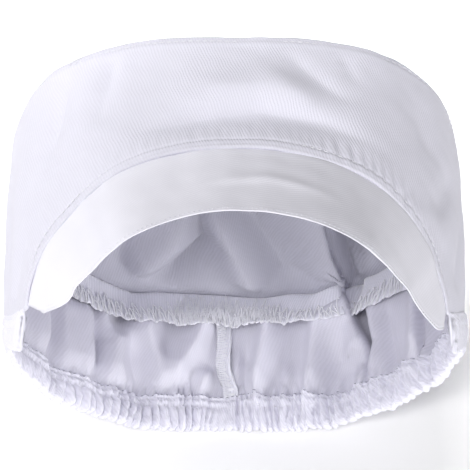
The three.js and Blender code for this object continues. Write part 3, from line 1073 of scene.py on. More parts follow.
@dataclass
class Dressing:
    """The finishes and thread trees that the pieces share."""

    band: bpy.types.Material
    crown: bpy.types.Material
    visor: bpy.types.Material
    casing: bpy.types.Material
    seam: bpy.types.Material
    stitches: bpy.types.NodeTree
    soft_stitches: bpy.types.NodeTree
    marks: bpy.types.NodeTree
    overlock: bpy.types.NodeTree

    @classmethod
    def make(cls) -> "Dressing":
        """Build every finish and tree once.

        Returns:
            The cap's dressing.
        """
        thread = ThreadFinish("white_thread", (0.95, 0.95, 1.0), sheen=1.0).build()
        pale = ThreadFinish("pale_thread", (0.76, 0.755, 0.81)).build()
        # Nearly black thread: painted shade for the shadowed needle holes along the casing's top.
        sunk = ThreadFinish("hole_shade_thread", (0.27, 0.27, 0.33)).build()
        band = TwillFinish("band_twill", (0.70, 0.69, 0.775))
        # The crown is the band's white twill painted darker: painted shade for its place deep inside the
        # cap, away from the lamps.
        crown = TwillFinish("crown_twill", (0.52, 0.515, 0.59), rib_angle=-20, rib_depth=0.07, shade=0.09)
        # The visor is the band's white twill painted lighter: painted light, as if the lamps fell on it
        # more.
        visor = TwillFinish("visor_twill", (0.79, 0.78, 0.85), rib_angle=70, rib_depth=0.03, shade=0.03)
        # The casing is a hem of the band's white twill, painted lighter: painted light for how brightly it
        # is lit.
        casing = TwillFinish("casing_twill", (0.82, 0.81, 0.905), rib_angle=-35, rib_depth=0.08, shade=0.1)
        # The seam allowances are the band's white twill painted much lighter: painted light on strips that
        # lie in the cap's shade.
        seam = TwillFinish(
            "seam_twill_painted_light", (0.89, 0.885, 0.97), rib_angle=10, rib_depth=0.09, shade=0.12, sheen=0.9
        )
        return cls(
            band=band.build(),
            crown=crown.build(),
            visor=visor.build(),
            casing=casing.build(),
            seam=seam.build(),
            stitches=stitch_tree("stitch_row", thread),
            soft_stitches=stitch_tree("soft_stitch_row", pale),
            marks=stitch_tree("needle_marks", sunk),
            overlock=overlock_tree("overlock_row", thread),
        )


def attach(made: bpy.types.Object, node: str | None = None) -> bpy.types.Object:
    """Fasten a finished piece to the cap.

    Args:
        made: The piece.
        node: The solid that it stands for, if any.

    Returns:
        The same piece.
    """
    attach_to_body(made, "root")
    if node:
        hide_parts(node)
    LOG.info("%s: %d faces", made.name, len(made.data.polygons))
    return made


def stitch_row(
    name: str,
    tree: bpy.types.NodeTree,
    lines: list[np.ndarray],
    outward: list[np.ndarray],
    slot: str,
    **sizes: float,
) -> bpy.types.Object:
    """Sew stitches along lines.

    Args:
        name: The row's name.
        tree: The tree that sets the stitches.
        lines: Points in millimetres.
        outward: Unit vectors away from the cloth.
        slot: Not used.
        sizes: Inputs of the tree in millimetres, by name.

    Returns:
        The finished row.
    """
    row = guide(name, [metres(line) for line in lines], {"outward": outward})
    values = {key.capitalize(): value * MM for key, value in sizes.items()}
    return attach(grow(row, tree, values))


@dataclass
class SideBand:
    """The tall front panel that runs round into the gathered back wall."""

    form: CapForm
    dressing: Dressing
    seam_turn: float = 185.0  # the grid runs from the back seam right round to it
    fine_until: float = 282.0
    coarse_until: float = 438.0
    fine_step: float = 0.42
    coarse_step: float = 0.8
    wall_rows: int = 66
    shoulder_rows: int = 7
    seam_bend: float = 45.0
    stitch_above: float = 4.4  # of the front topstitching, above the visor's seam
    stitch_below: float = 3.4  # of the crown topstitching, below the crown's seam
    stitch_pitch: float = 3.0
    stitch_groove: float = 0.35
    groove_reach: float = 0.6
    pucker_pitch: float = 4.6

    def columns(self) -> np.ndarray:
        """List the turns of the grid, close together behind.

        Returns:
            Turns from the back seam nearly to a whole turn later.
        """
        back = np.arange(self.seam_turn, self.fine_until, self.fine_step)
        front = np.arange(back[-1] + self.coarse_step, self.coarse_until, self.coarse_step)
        end = self.seam_turn + 360 - self.fine_step / 2
        return np.concatenate([back, front, np.arange(front[-1] + self.fine_step, end, self.fine_step)])

    def edge_relief(self, turn: np.ndarray, above: np.ndarray) -> np.ndarray:
        """Give how far the cloth stands out beside the visor's seam and its topstitching.

        Args:
            turn: Degrees round the cap.
            above: Millimetres above the band's lower edge.

        Returns:
            Millimetres outwards.
        """
        signed = turn_between(turn, 0)
        front = ease((signed - VISOR_START + 1) / 3) * ease((VISOR_END + 1 - signed) / 3)
        roll = (0.3 + 0.35 * ease((22 - signed) / 30)) * swell(above - 0.6, 0.6)
        puff = 0.3 * swell(above - 2.7, 1.1)
        groove = -self.stitch_groove * swell(above - self.stitch_above, self.groove_reach)
        strength = 0.5 * ease((signed - 20) / 8) * ease((56 - signed) / 10) + 0.16
        wave = np.sin(signed * TURN_MM * 2 * math.pi / self.pucker_pitch + 1.3 * np.sin(signed * 0.35))
        pucker = swell(above - 7, 4.5) * strength * wave
        return front * (roll + puff + groove + pucker)

    def crown_relief(self, turn: np.ndarray, below: np.ndarray) -> np.ndarray:
        """Give how far the cloth stands out under the crown's seam.

        Args:
            turn: Degrees round the cap.
            below: Millimetres below the seam.

        Returns:
            Millimetres outwards.
        """
        groove = -self.stitch_groove * swell(below - self.stitch_below, self.groove_reach)
        roll = 0.35 * swell(below - 0.8, 1.0)
        ruffle = 0.25 * swell(below, 7) * ripple(turn * TURN_MM, below * 0.2, pitch=11, seed=21)
        return groove + roll + ruffle

    def grid(self) -> tuple[np.ndarray, np.ndarray, np.ndarray]:
        """Lay out the band half way through its cloth.

        Returns:
            The points and the cloth's u and v.
        """
        form, turn = self.form, self.columns()
        low, high = form.band_edge(turn), form.wall_top(turn)
        share = np.linspace(0, 1, self.wall_rows)[:, None]
        share = share - 0.09 * np.sin(share * math.pi) * (1 - share)
        y = low + (high - low) * share
        turns = np.broadcast_to(turn, y.shape)
        at = form.places(turns, y)
        arc = np.radians(self.seam_bend) * form.shoulder(turn)
        relief = self.edge_relief(turns, y - low) + self.crown_relief(turns, high - y + arc)
        wall = form.wall(at, WALL / 2 - relief)
        top = Places(turn, high, at.inward[-1], at.sideways[-1])
        bends = np.linspace(0, self.seam_bend - 1.5, self.shoulder_rows + 1)[1:, None]
        left = np.radians(self.seam_bend - bends) * form.shoulder(turn)
        rolled = np.stack([
            form.shoulder_point(top, bend, WALL / 2 - self.crown_relief(turn, gone))
            for bend, gone in zip(bends, left)
        ])
        points = np.concatenate([wall, rolled])
        u = np.append(turn, self.seam_turn + 360) * TURN_MM
        v_shoulder = high + np.radians(bends) * form.shoulder(turn)
        v = np.concatenate([y, v_shoulder])
        v = np.concatenate([v, v[:, :1]], axis=1)
        return points, np.broadcast_to(u, v.shape), v

    def build(self) -> None:
        """Make the band, its topstitching above the visor and under the crown, and the joined seam."""
        points, u, v = self.grid()
        band = cloth_shell("band_cloth", points, WALL, u, v, wraps=True)
        dress(band, self.dressing.band)
        attach(band, "side_band")
        self.sew_front()
        self.sew_crown()

    def sew_front(self) -> None:
        """Sew the row above the visor's seam."""
        form = self.form
        turn = np.arange(VISOR_START + 2, VISOR_END - 2, 0.5)
        y = form.band_edge(turn) + self.stitch_above
        at = form.places(turn, y)
        line = form.wall(at, 0.25)
        outward = unit(line - form.wall(at, 2.0))
        stitch_row("visor_seam_topstitch", self.dressing.soft_stitches, [line], [outward], "band_twill",
                   pitch=self.stitch_pitch, length=2.2, width=0.55, height=0.42, lift=0.0)

    def sew_crown(self) -> None:
        """Sew the row under the crown's seam."""
        form = self.form
        turn = np.arange(0, 360.5, 0.5)
        at = form.places(turn, form.wall_top(turn))
        bend = self.seam_bend - np.degrees(self.stitch_below / form.shoulder(turn))
        line, below = form.shoulder_point(at, bend, 0.2), form.shoulder_point(at, bend, 2.0)
        outward = unit(line - below)
        stitch_row("crown_topstitch", self.dressing.soft_stitches, [line], [outward], "band_twill",
                   pitch=self.stitch_pitch, length=2.2, width=0.6, height=0.45, lift=0.0)


@dataclass
class CrownPanel:
    """The top of the cap, a slack oval of cloth sewn in round its edge."""

    form: CapForm
    dressing: Dressing
    columns: int = 400
    rings: int = 72
    cloth: float = 1.2
    seam_bend: float = 45.0
    pull_reach: float = 16.0
    spread: float = 2.5  # how late the crown leaves its slanting plane on the way to its edge
    rim_share: float = 0.16  # share of the way in over which the folds come up

    def heights(
        self, x: np.ndarray, z: np.ndarray, share: np.ndarray, edge: np.ndarray, y_edge: np.ndarray
    ) -> np.ndarray:
        """Give the crown's height over the rim.

        Args:
            x: Places across.
            z: Places above the floor.
            share: Shares of the way from the middle to the edge.
            edge: The edge's rise above the level, in each column.
            y_edge: The edge's height over the rim, in each column.

        Returns:
            The height of the outer cloth.
        """
        form = self.form
        flat = form.crown_middle + form.crown_slope * (z - LEVEL)
        rest = y_edge - form.crown_middle - form.crown_slope * edge
        y = flat + rest * share**self.spread
        fade = ease((1 - share) / self.rim_share)
        hang = form.crown_hang(x, z) * (form.drag_share + (1 - form.drag_share) * fade)
        uneven = 0.5 * ripple(x, z, pitch=40, seed=11) + 0.15 * ripple(x, z, pitch=15, seed=12)
        return y - hang - uneven * fade

    def slide(self, x: np.ndarray, z: np.ndarray) -> np.ndarray:
        """Give how far overlapping folds throw the cloth towards +X."""
        return sum(fold.over * fold.rise(-x, z) for fold in self.form.crown_folds if fold.over)

    def build(self) -> None:
        """Make the crown from its seam to its middle."""
        form = self.form
        turn = np.arange(self.columns) * 360 / self.columns
        at = form.places(turn, form.wall_top(turn))
        bends = np.linspace(self.seam_bend + 1.5, 90, 9)
        past_seam = np.radians(bends - self.seam_bend)[:, None] * form.shoulder(turn)
        roll = 0.3 * swell(past_seam - 0.9, 0.9)
        rolled = np.stack([
            form.shoulder_point(at, bend, self.cloth / 2 - out) for bend, out in zip(bends, roll)
        ])
        rim = form.plain_rim(turn)
        pulled = form.shoulder_point(at, 90.0, 0.0, drop=0.0) - rim
        share = np.linspace(1, 0, self.rings)[1:-1, None] ** 0.9
        x, edge = rim[:, 0] * share, rim[:, 2] - LEVEL
        z = LEVEL + edge * share
        y = self.heights(x, z, np.broadcast_to(share, x.shape), edge, rim[:, 1]) - self.cloth / 2
        away = (1 - share) * np.hypot(rim[:, 0], edge)
        held = swell(away, self.pull_reach)
        x = x + self.slide(x, z) * ease(away / 6) + pulled[:, 0] * held
        z = z + pulled[:, 2] * held
        points = np.concatenate([rolled, np.stack([x, y, z], -1)])
        made = self.close(points, points[-1].mean(0))
        dress(made, self.dressing.crown)
        attach(made, "crown_panel")

    def close(self, points: np.ndarray, middle: np.ndarray) -> bpy.types.Object:
        """Give the rings a thickness and close both faces at the middle.

        Args:
            points: Rings from the seam inwards, half way through the cloth.
            middle: The point that the rings close on.

        Returns:
            The closed crown.
        """
        normal = -grid_normals(points, True)
        normal *= np.sign(normal[..., 1:2].mean() or 1)
        half = self.cloth / 2
        outer, inner = points + normal * half, points - normal * half
        rows, columns = points.shape[:2]
        seam = points[:1] + unit(points[:1] - points[1:2]) * half
        ring = np.concatenate([outer[::-1], seam, inner])
        faces = faces_between(len(ring), columns, False, True)
        poles = np.stack([middle + (0, half, 0), middle - (0, half, 0)])
        last = (len(ring) - 1) * columns
        first_fan = [[len(ring) * columns, (j + 1) % columns, j] for j in range(columns)]
        last_fan = [[len(ring) * columns + 1, last + j, last + (j + 1) % columns] for j in range(columns)]
        everything = np.concatenate([ring.reshape(-1, 3), poles])
        quads = faces.tolist() + first_fan + last_fan
        flat = everything[:, [0, 2]] * MM
        uv = np.concatenate([flat[face] for face in quads])
        made = mesh_object("crown_cloth", metres(everything), quads, uv)
        point_out(made)
        return made


@dataclass
class Visor:
    """The soft crescent peak, two layers over a stiffener with a rolled free edge."""

    form: CapForm
    dressing: Dressing
    thickness: float = 2.6
    edge_cloth: float = 0.5
    taper: float = 4.6
    step: float = 0.4
    rows: int = 46
    edge_stitch: float = 1.15  # of the stitched line, inside the free edge
    edge_groove: float = 0.2
    root_groove: float = 0.5
    crease: Crease = wall_fold(0.7, 2.4, 3.4, (-14, 24), (8, 20), (30, 25), start=0.4, end=0.4)

    def ruling(self, turn: np.ndarray) -> tuple[np.ndarray, np.ndarray, np.ndarray]:
        """Give the visor's straight lines from its seam to its free edge.

        Args:
            turn: Degrees round the cap.

        Returns:
            The root, the direction to the free edge and the width at each turn.
        """
        form = self.form
        flare, lean = np.radians(VISOR.at(turn, "flare")), np.radians(VISOR.at(turn, "lean"))
        angle = np.radians(turn)
        out = np.stack([np.sin(angle), 0 * angle, np.cos(angle)], -1)
        round_cap = np.stack([np.cos(angle), 0 * angle, -np.sin(angle)], -1)
        down = np.array([0.0, -1.0, 0.0])
        along = (round_cap * np.sin(lean)[:, None] + down * np.cos(lean)[:, None]) * np.cos(flare)[:, None]
        along = along + out * np.sin(flare)[:, None]
        y = VISOR.at(turn, "seam") + 0.4
        inward, sideways = form.shifts(turn, y)
        at = Places(turn, y, inward, sideways)
        return form.wall(at, 0.0), along, VISOR.at(turn, "width")

    def build(self) -> None:
        """Make the visor and the stitches along its rolled edge."""
        turn = np.arange(VISOR_START, VISOR_END + 0.01, self.step)
        root, along, width = self.ruling(turn)
        tip = np.minimum(turn - VISOR_START, VISOR_END - turn)
        width = width - 3.2 * swell(tip, 1.3)
        share = np.linspace(0, 1, self.rows)[:, None]
        share = 0.5 * share + 0.5 * np.sin(share * math.pi / 2)
        points = root + along * (width * share)[..., None]
        out = unit(np.cross(np.gradient(root, axis=0), along))
        angle = np.radians(turn)
        from_axis = np.stack([np.sin(angle), 0 * turn, np.cos(angle)], -1)
        out *= np.sign((out * from_axis).sum(-1))[:, None]
        reach = width * share
        left = width - reach
        u = np.broadcast_to(turn * TURN_MM, reach.shape)
        relief = 0.35 * ripple(u, reach, pitch=38, seed=31) + 0.1 * ripple(u, reach, pitch=12, seed=32)
        relief += self.crease.height * self.crease.rise(u, reach)
        relief -= self.edge_groove * swell(left - self.edge_stitch, 0.25)
        relief -= self.root_groove * swell(reach, 1.2)
        relief *= ease(left / 0.3) * 0.8 + 0.2
        body = self.edge_cloth + (self.thickness - self.edge_cloth) * ease(left / self.taper)
        body = body * (0.7 + 0.3 * np.clip(tip / 1.0, 0, 1))
        points = points + out[None] * (relief - body / 2)[..., None]
        visor = cloth_shell("visor_cloth", points, body, u, reach, wraps=False)
        dress(visor, self.dressing.visor)
        attach(visor, "visor")
        stitched_row, clear_of_tips = -4, slice(8, -6)
        line = points[stitched_row] + out * (body[stitched_row] / 2 - 0.05)[:, None]
        line, outward = line[clear_of_tips], out[clear_of_tips]
        stitch_row("visor_edge_stitch", self.dressing.soft_stitches, [line], [outward], "visor_twill",
                   pitch=1.9, length=0.9, width=0.35, height=0.3, lift=0.1)


@dataclass
class ElasticCasing:
    """The gathered hem with elastic in it, two rows of stitching and a ruffled edge."""

    form: CapForm
    dressing: Dressing
    thickness: float = 4.0
    girth: float = 35.0  # cloth once round its section
    flatness: float = 0.75  # how evenly the section's points are spread over its faces
    proud: float = 0.8
    ruffles: int = 86
    step: float = 0.16
    sides: int = 46
    row_one: float = 0.86
    row_two: float = 0.60
    seed: int = 5
    end_puckers: float = 5.5
    end_hem: float = 4.0
    end_depth: float = 0.45
    marks_end: float = 286.0
    marks_angle: float = 2.72  # in radians round the section, just under the seam

    def pleats(self, turn: np.ndarray, seed: int, count: int) -> tuple[np.ndarray, np.ndarray]:
        """Share the casing out into uneven pleats.

        Args:
            turn: Degrees round the cap.
            seed: What the pleats are drawn from.
            count: How many there are.

        Returns:
            The place inside each pleat, from -1 to 1, and the pleat's own strength.
        """
        rng = np.random.default_rng(seed)
        widths = rng.uniform(0.65, 1.35, count)
        passed = np.concatenate([[0], np.cumsum(widths)])
        edges = CASING_START + (CASING_END - CASING_START) * passed / widths.sum()
        number = np.clip(np.searchsorted(edges, turn, side="right") - 1, 0, count - 1)
        inside = 2 * (turn - edges[number]) / (edges[number + 1] - edges[number]) - 1
        return inside, rng.uniform(0.6, 1.25, count)[number]

    def relief(self, turn: np.ndarray, share: np.ndarray) -> np.ndarray:
        """Give how far the casing's faces swell at a share of its width from the rim.

        Args:
            turn: Degrees round the cap.
            share: Shares of the casing's width, 0 at the rim.

        Returns:
            Millimetres out of each face.
        """
        skew = (share - 0.3) * 3.2 * np.sin(turn * 0.21)
        inside, strength = self.pleats(turn + skew, self.seed, self.ruffles)
        tube = np.maximum(1 - inside**2, 0) * strength
        fine_inside, fine_strength = self.pleats(turn - skew * 0.5, self.seed + 1, int(self.ruffles * 1.4))
        fine = np.sqrt(np.maximum(1 - fine_inside**2, 0)) * fine_strength
        lower = ease((self.row_two + 0.04 - share) / 0.1)
        left = ease((turn - 178) / 12)
        upper_strength = left * (0.55 * fine + 0.25 * tube) + (1 - left) * (0.65 * tube + 0.6 * fine)
        left_end = 0.22 + 0.78 * ease((264 - turn) / 34)
        right_end = 0.55 + 0.45 * ease((turn - 88) / 14)
        block = 1 - 0.85 * swell(turn_between(turn, 184.8), 3.4, 4)
        here = left_end * right_end * block
        puff = here * ((2.3 + 0.9 * left) * tube * lower + 2.0 * upper_strength * (1 - lower))
        slot = -1.8 * swell(turn_between(turn, 178.8), 0.8)
        slot = slot - 0.9 * swell(turn_between(turn, 190.2), 0.6)
        groove = 1.0 + 0.7 * left
        rows = sum(-groove * swell(share - row, 0.035) for row in (self.row_one, self.row_two))
        u = turn * TURN_MM
        v = share * 15
        crumple = 0.45 * ripple(u, v, pitch=2.0, seed=41) + 0.6 * ripple(u, v, pitch=4.2, seed=42)
        return puff + slot + rows + crumple * (0.4 + 0.6 * here)

    def end_pucker(self, turn: np.ndarray, share: np.ndarray) -> tuple[np.ndarray, np.ndarray]:
        """Give how the turned-in ends draw up.

        Args:
            turn: Degrees round the cap.
            share: Shares of the casing's width, 0 at the rim.

        Returns:
            How far the cloth swells outwards and how far the end runs on, in millimetres.
        """
        from_end = np.minimum(turn - CASING_START, CASING_END - turn) * TURN_MM
        wave = np.sin(share * 2 * math.pi * self.end_puckers + 1.1 * np.sin(share * 9))
        hem = swell(from_end - self.end_hem, 0.7)
        puff = self.end_depth * wave * swell(from_end, self.end_hem) - 0.5 * hem
        return puff, 0.5 * wave * swell(from_end, 1.5)

    def section(self, turn: np.ndarray, angle: np.ndarray) -> np.ndarray:
        """Give the casing's surface points.

        Args:
            turn: Degrees round the cap, as a column.
            angle: Angles round the section, as a row, 0 at the rim and 90 on the inside.

        Returns:
            Points in millimetres.
        """
        form = self.form
        rim, top, slant = (CASING.at(turn, column) for column in ("rim", "top", "slant"))
        from_end = np.minimum(turn - CASING_START, CASING_END - turn)
        full = np.minimum(1, 0.55 + from_end / 40)
        share = (1 - np.sign(np.cos(angle)) * np.abs(np.cos(angle)) ** self.flatness) / 2
        across = np.sign(np.sin(angle)) * np.abs(np.sin(angle)) ** 0.45
        puff = self.relief(turn, share)
        foot = form.places(np.broadcast_to(turn, puff.shape), np.broadcast_to(top + 3, puff.shape))
        inward = np.maximum(foot.inward - 0.3, 0) * (0.35 + 0.65 * share)
        inside, strength = self.pleats(turn, self.seed, self.ruffles)
        scallop = 2.1 * np.sqrt(np.maximum(1 - inside**2, 0)) * strength * (1 - share) ** 3
        y = rim + (top - rim) * share - scallop * (0.4 + 0.6 * ease((258 - turn) / 22)) + 1.2
        depth = (1 + across) * self.thickness * full / 2
        depth = (
            depth + puff * 0.72 * np.maximum(across, 0) * full - 0.35 * puff * np.maximum(-across, 0) * full
        )
        pucker, run_on = self.end_pucker(turn, share)
        depth = depth - pucker * (0.4 - 0.6 * across)
        outwards = np.where(turn < 180, -1, 1)
        place = turn + slant * (1 - share) + outwards * run_on / TURN_MM
        radius = form.outer_radius(place, y, 0.0) + self.proud * full - inward - depth
        towards = np.cos(np.radians(place))
        floor = (LEVEL - 0.05) / np.maximum(-towards, 1e-6) - depth * 0.97 - inward
        radius = np.where(towards < 0, np.minimum(radius, floor), radius)
        return form.place(place, y, radius)

    def build(self) -> None:
        """Make the casing and its rows of stitches."""
        turn = np.arange(CASING_START, CASING_END + 0.01, self.step)[:, None]
        angle = (np.arange(self.sides) + 0.5) * 2 * math.pi / self.sides
        points = self.section(turn, angle[None])
        rows, columns = points.shape[:2]
        faces = faces_between(rows, columns, False, True).tolist()
        around = np.append(np.linspace(0, self.girth - 1, columns), self.girth)
        i, j = np.divmod(np.arange((rows - 1) * columns), columns)
        corners = [(i, j), (i, j + 1), (i + 1, j + 1), (i + 1, j)]
        uv = np.stack([np.stack([turn[a, 0] * TURN_MM, around[b]], -1) for a, b in corners], 1) * MM
        ends = [list(range(columns))[::-1], [(rows - 1) * columns + k for k in range(columns)]]
        uv = np.concatenate([uv.reshape(-1, 2), np.zeros((2 * columns, 2))])
        casing = mesh_object("casing_cloth", metres(points.reshape(-1, 3)), faces + ends, uv)
        point_out(casing)
        dress(casing, self.dressing.casing)
        attach(casing, "elastic_casing")
        self.sew()

    def sew(self) -> None:
        """Sew both rows on both faces, sunk in their grooves, and dash painted shade into the needle holes
        along the top.
        """
        turn = np.arange(CASING_START + 8, CASING_END - 8, 0.3)[:, None]
        lines, outward = [], []
        for row in (self.row_one, self.row_two):
            lean = math.acos(np.sign(1 - 2 * row) * abs(1 - 2 * row) ** (1 / self.flatness))
            for side in (lean, 2 * math.pi - lean):
                line = self.section(turn, np.array([[side]]))[:, 0]
                core = self.section(turn, np.array([[2 * math.pi - side]]))[:, 0]
                away = unit(line - core)
                lines.append(line + away * 0.1)
                outward.append(away)
        stitch_row("casing_stitches", self.dressing.soft_stitches, lines, outward, "casing_twill",
                   pitch=2.3, length=1.6, width=0.42, height=0.34, lift=0.0)
        # Nearly black dashes just under the casing's seam: painted shade for its needle holes and the gap
        # above it.
        turn = turn[turn[:, 0] < self.marks_end]
        line = self.section(turn, np.array([[self.marks_angle]]))[:, 0]
        core = self.section(turn, np.array([[2 * math.pi - self.marks_angle]]))[:, 0]
        stitch_row("casing_needle_marks", self.dressing.marks, [line], [unit(line - core)], "casing_twill",
                   pitch=2.6, length=1.5, width=0.42, height=0.3, lift=0.0)


@dataclass(frozen=True)
class OverlockRow:
    """One run of thread over the allowance's edge, in millimetres, shares of its depth and degrees."""

    name: str
    pitch: float
    unevenness: float
    seed: int
    foot: float = -0.05
    head: float = 0.6
    thread: float = 0.4
    first: float = 0.0
    last: float = 360.0


OVERLOCK_ROWS = (
    OverlockRow("crown_overlock", 3.0, 0.4, 9, thread=0.75),
    OverlockRow("crown_overlock_under", 3.9, 0.6, 23, head=0.5, thread=0.55),
    OverlockRow("crown_overlock_frayed", 1.2, 0.75, 31, head=0.55, first=160, last=205),
    OverlockRow("crown_overlock_loose", 1.5, 0.8, 37, foot=0.25, head=0.68, first=161, last=206),
    OverlockRow("crown_overlock_matted", 1.2, 0.8, 43, foot=0.5, head=1.0, first=165, last=203),
    OverlockRow("crown_overlock_fluff", 1.1, 0.8, 47, foot=0.1, first=166, last=202),
)


def overlock(
    row: OverlockRow,
    low: np.ndarray,
    high: np.ndarray,
    outward: np.ndarray,
    arch: float,
    dressing: Dressing,
) -> bpy.types.Object:
    """Run thread to and fro between two lines on the cloth.

    Args:
        row: What the thread is like.
        low: Points that it starts from, in millimetres.
        high: Points that it swings to.
        outward: Unit vectors away from the cloth.
        arch: How high it lifts off the cloth on its way.
        dressing: The cap's finishes and trees.

    Returns:
        The finished thread.
    """
    line = guide(row.name, [metres(low)], {"across": [(high - low) * MM], "outward": [outward]})
    values = {"Pitch": row.pitch * MM, "Thread": row.thread * MM, "Arch": arch * MM}
    values |= {"Unevenness": row.unevenness, "Seed": row.seed}
    return attach(grow(line, dressing.overlock, values))


@dataclass
class CrownAllowance:
    """The overlocked edges of the crown's seam, turned down inside the band."""

    form: CapForm
    dressing: Dressing
    depth: float = 15.5
    cloth: float = 1.0
    air: float = 0.35
    top_bend: float = 50.0
    columns: int = 900
    rows: int = 12
    break_turn: float = 139.4  # the deepest fold, across which the loose edge doesn't bridge
    slant: float = 4.0
    slant_turn: float = 144.0
    slant_reach: float = 8.0
    bridge_bend: float = 0.035
    hung: tuple[np.ndarray, np.ndarray] | None = None

    def lean(self, turn: np.ndarray) -> np.ndarray:
        """Give how far round the loose edge is set off where the deepest fold crosses it slantwise."""
        return self.slant * swell(turn_between(turn, self.slant_turn), self.slant_reach)

    def bridge(self, turn: np.ndarray) -> np.ndarray:
        """Give how far in the loose edge hangs as it bridges the band's folds.

        Args:
            turn: Degrees round the cap.

        Returns:
            Millimetres into the cap.
        """
        if self.hung is None:
            places = np.arange(0.0, 360.0, 0.75)
            top = self.form.wall_top(places)
            inward = np.max([self.form.shifts(places, top - down)[0] for down in (6, 10, 14)], axis=0)
            apart = places[:, None] - places[None]
            same_side = (places[:, None] > self.break_turn) == (places[None] > self.break_turn)
            hull = np.where(same_side, inward[None] - self.bridge_bend * apart**2, -np.inf).max(1)
            self.hung = (places, hull)
        return np.interp(np.mod(turn, 360), *self.hung)

    def surface(self, turn: np.ndarray, share: np.ndarray, lift: np.ndarray | float) -> np.ndarray:
        """Give points on the allowance.

        Args:
            turn: Degrees round the cap.
            share: Shares of the way from the loose edge to the seam.
            lift: Millimetres off the band.

        Returns:
            Points in millimetres.
        """
        form, near = self.form, WALL + self.air + lift
        top = form.wall_top(turn)
        seam = form.places(turn, top)
        loose = form.places(turn - self.lean(turn), top - self.depth)
        inward = np.maximum(loose.inward, self.bridge(loose.turn))
        hung = Places(loose.turn, loose.y, inward, loose.sideways)
        upper, lower = form.shoulder_point(seam, self.top_bend, near), form.wall(hung, near)
        return lower + (upper - lower) * np.asarray(share)[..., None]

    def build(self) -> None:
        """Make the strip with its uneven edge and the threads over it."""
        turn = np.linspace(0, 360, self.columns, endpoint=False)
        share = np.linspace(0, 1.05, self.rows)[:, None]
        turns = np.broadcast_to(turn, (self.rows, self.columns))
        u = turns * TURN_MM
        fray = 0.045 * ripple(u, 0 * u, pitch=5, seed=51) + 0.035 * ripple(u, 0 * u, pitch=2.1, seed=52)
        place = share + fray * (1 - share) ** 2
        wave = 0.25 * ripple(u, place * 12, pitch=9, seed=53) * (1 - share)
        lift = 0.5 * (1 - share) ** 2 + wave + self.cloth / 2 + 0.1
        points = self.surface(turns, place, np.maximum(lift, self.cloth / 2))
        whole_turn = np.full((self.rows, 1), 360 * TURN_MM)
        u = np.concatenate([u, whole_turn], axis=1)
        v = np.broadcast_to(share * 15, u.shape)
        strip = cloth_shell("crown_allowance_cloth", points, self.cloth, u, v, wraps=True)
        dress(strip, self.dressing.seam)
        attach(strip, "crown_seam_allowance")
        self.sew()

    def sew(self) -> None:
        """Run the overlock thread along the loose edge and the seam's stitches along the top."""
        turn = np.arange(0, 360.3, 0.5)
        back = self.surface(turn, np.full(turn.shape, 0.2), 0.2)
        out = unit(self.surface(turn, np.full(turn.shape, 0.2), 2.0) - back)
        for row in OVERLOCK_ROWS:
            kept = (turn >= row.first) & (turn <= row.last)
            part = turn[kept]
            low = self.surface(part, np.full(part.shape, row.foot), self.cloth + 0.75)
            high = self.surface(part, np.full(part.shape, row.head), self.cloth + 0.35)
            overlock(row, low, high, out[kept], 0.7, self.dressing)
        line = self.surface(turn, np.full(turn.shape, 0.97), self.cloth + 0.3)
        stitch_row("crown_seam_stitch", self.dressing.stitches, [line], [out], "seam_edges",
                   pitch=2.8, length=2.2, width=0.45, height=0.4, lift=0.0)


@dataclass
class BackAllowance:
    """The overlocked edges of the back seam, pressed to one side."""

    form: CapForm
    dressing: Dressing
    low: float = 12.2
    high: float = 51.0
    half: float = 3.4
    cloth: float = 1.1
    air: float = 0.3
    rows: int = 70
    columns: int = 15
    thread_points: int = 60

    def surface(self, y: np.ndarray, side: np.ndarray, lift: np.ndarray | float) -> np.ndarray:
        """Give points on the strip.

        Args:
            y: Millimetres above the rim.
            side: Places across the strip, from -1 towards +X to 1.
            lift: Millimetres off the band.

        Returns:
            Points in millimetres.
        """
        turn = SEAM.at(y, "turn") + side * self.half / 1.2
        at = self.form.places(*np.broadcast_arrays(turn, y))
        return self.form.wall(at, WALL + self.air + lift)

    def build(self) -> None:
        """Make the strip and its threads."""
        y = np.linspace(self.low, self.high, self.rows)[:, None]
        side = np.linspace(1, -1, self.columns)[None]
        wavy = side + 0.06 * ripple(y, 0 * y, pitch=6, seed=61) * np.abs(side)
        hump = 0.7 * swell(side - 0.9, 0.35) + 0.35 * swell(side + 0.9, 0.25)
        points = self.surface(np.broadcast_to(y, wavy.shape), wavy, self.cloth / 2 + 0.25 + hump)
        u, v = np.broadcast_arrays(side * self.half, y)
        strip = cloth_shell("back_allowance_cloth", points, self.cloth, u, v, wraps=False)
        dress(strip, self.dressing.seam)
        attach(strip, "back_seam_allowance")
        self.sew()

    def sew(self) -> None:
        """Run the overlock thread up the strip and a line of stitches up its folded side."""
        y = np.linspace(self.low, self.high, self.thread_points)
        middle = np.zeros(self.thread_points)
        left = self.surface(y, middle + 1.06, self.cloth + 1.0)
        right = self.surface(y, middle - 0.5, self.cloth + 0.55)
        out = unit(self.surface(y, middle, 2.0) - self.surface(y, middle, 0.0))
        row = OverlockRow("back_overlock", 1.15, 0.2, 3, thread=0.3)
        overlock(row, left, right, out, 0.25, self.dressing)
        line = self.surface(y, middle - 0.86, self.cloth + 0.75)
        stitch_row("back_seam_stitch", self.dressing.stitches, [line], [out], "seam_edges",
                   pitch=2.2, length=1.9, width=0.4, height=0.4, lift=0.0)


@dataclass(frozen=True)
class SoftLight:
    """A square light in metres, watts and degrees."""

    name: str
    place: tuple[float, float, float]
    aim: tuple[float, float, float]
    size: float
    power: float
    spread: float = 180.0

    def hang(self) -> None:
        """Hang the light at its place and turn it to its aim."""
        data = bpy.data.lights.new(self.name, "AREA")
        data.size = self.size
        data.energy = self.power
        data.spread = math.radians(self.spread)
        made = bpy.data.objects.new(self.name, data)
        made.location = self.place
        made.rotation_euler = (Vector(self.aim) - Vector(self.place)).to_track_quat("-Z", "Y").to_euler()
        bpy.context.scene.collection.objects.link(made)


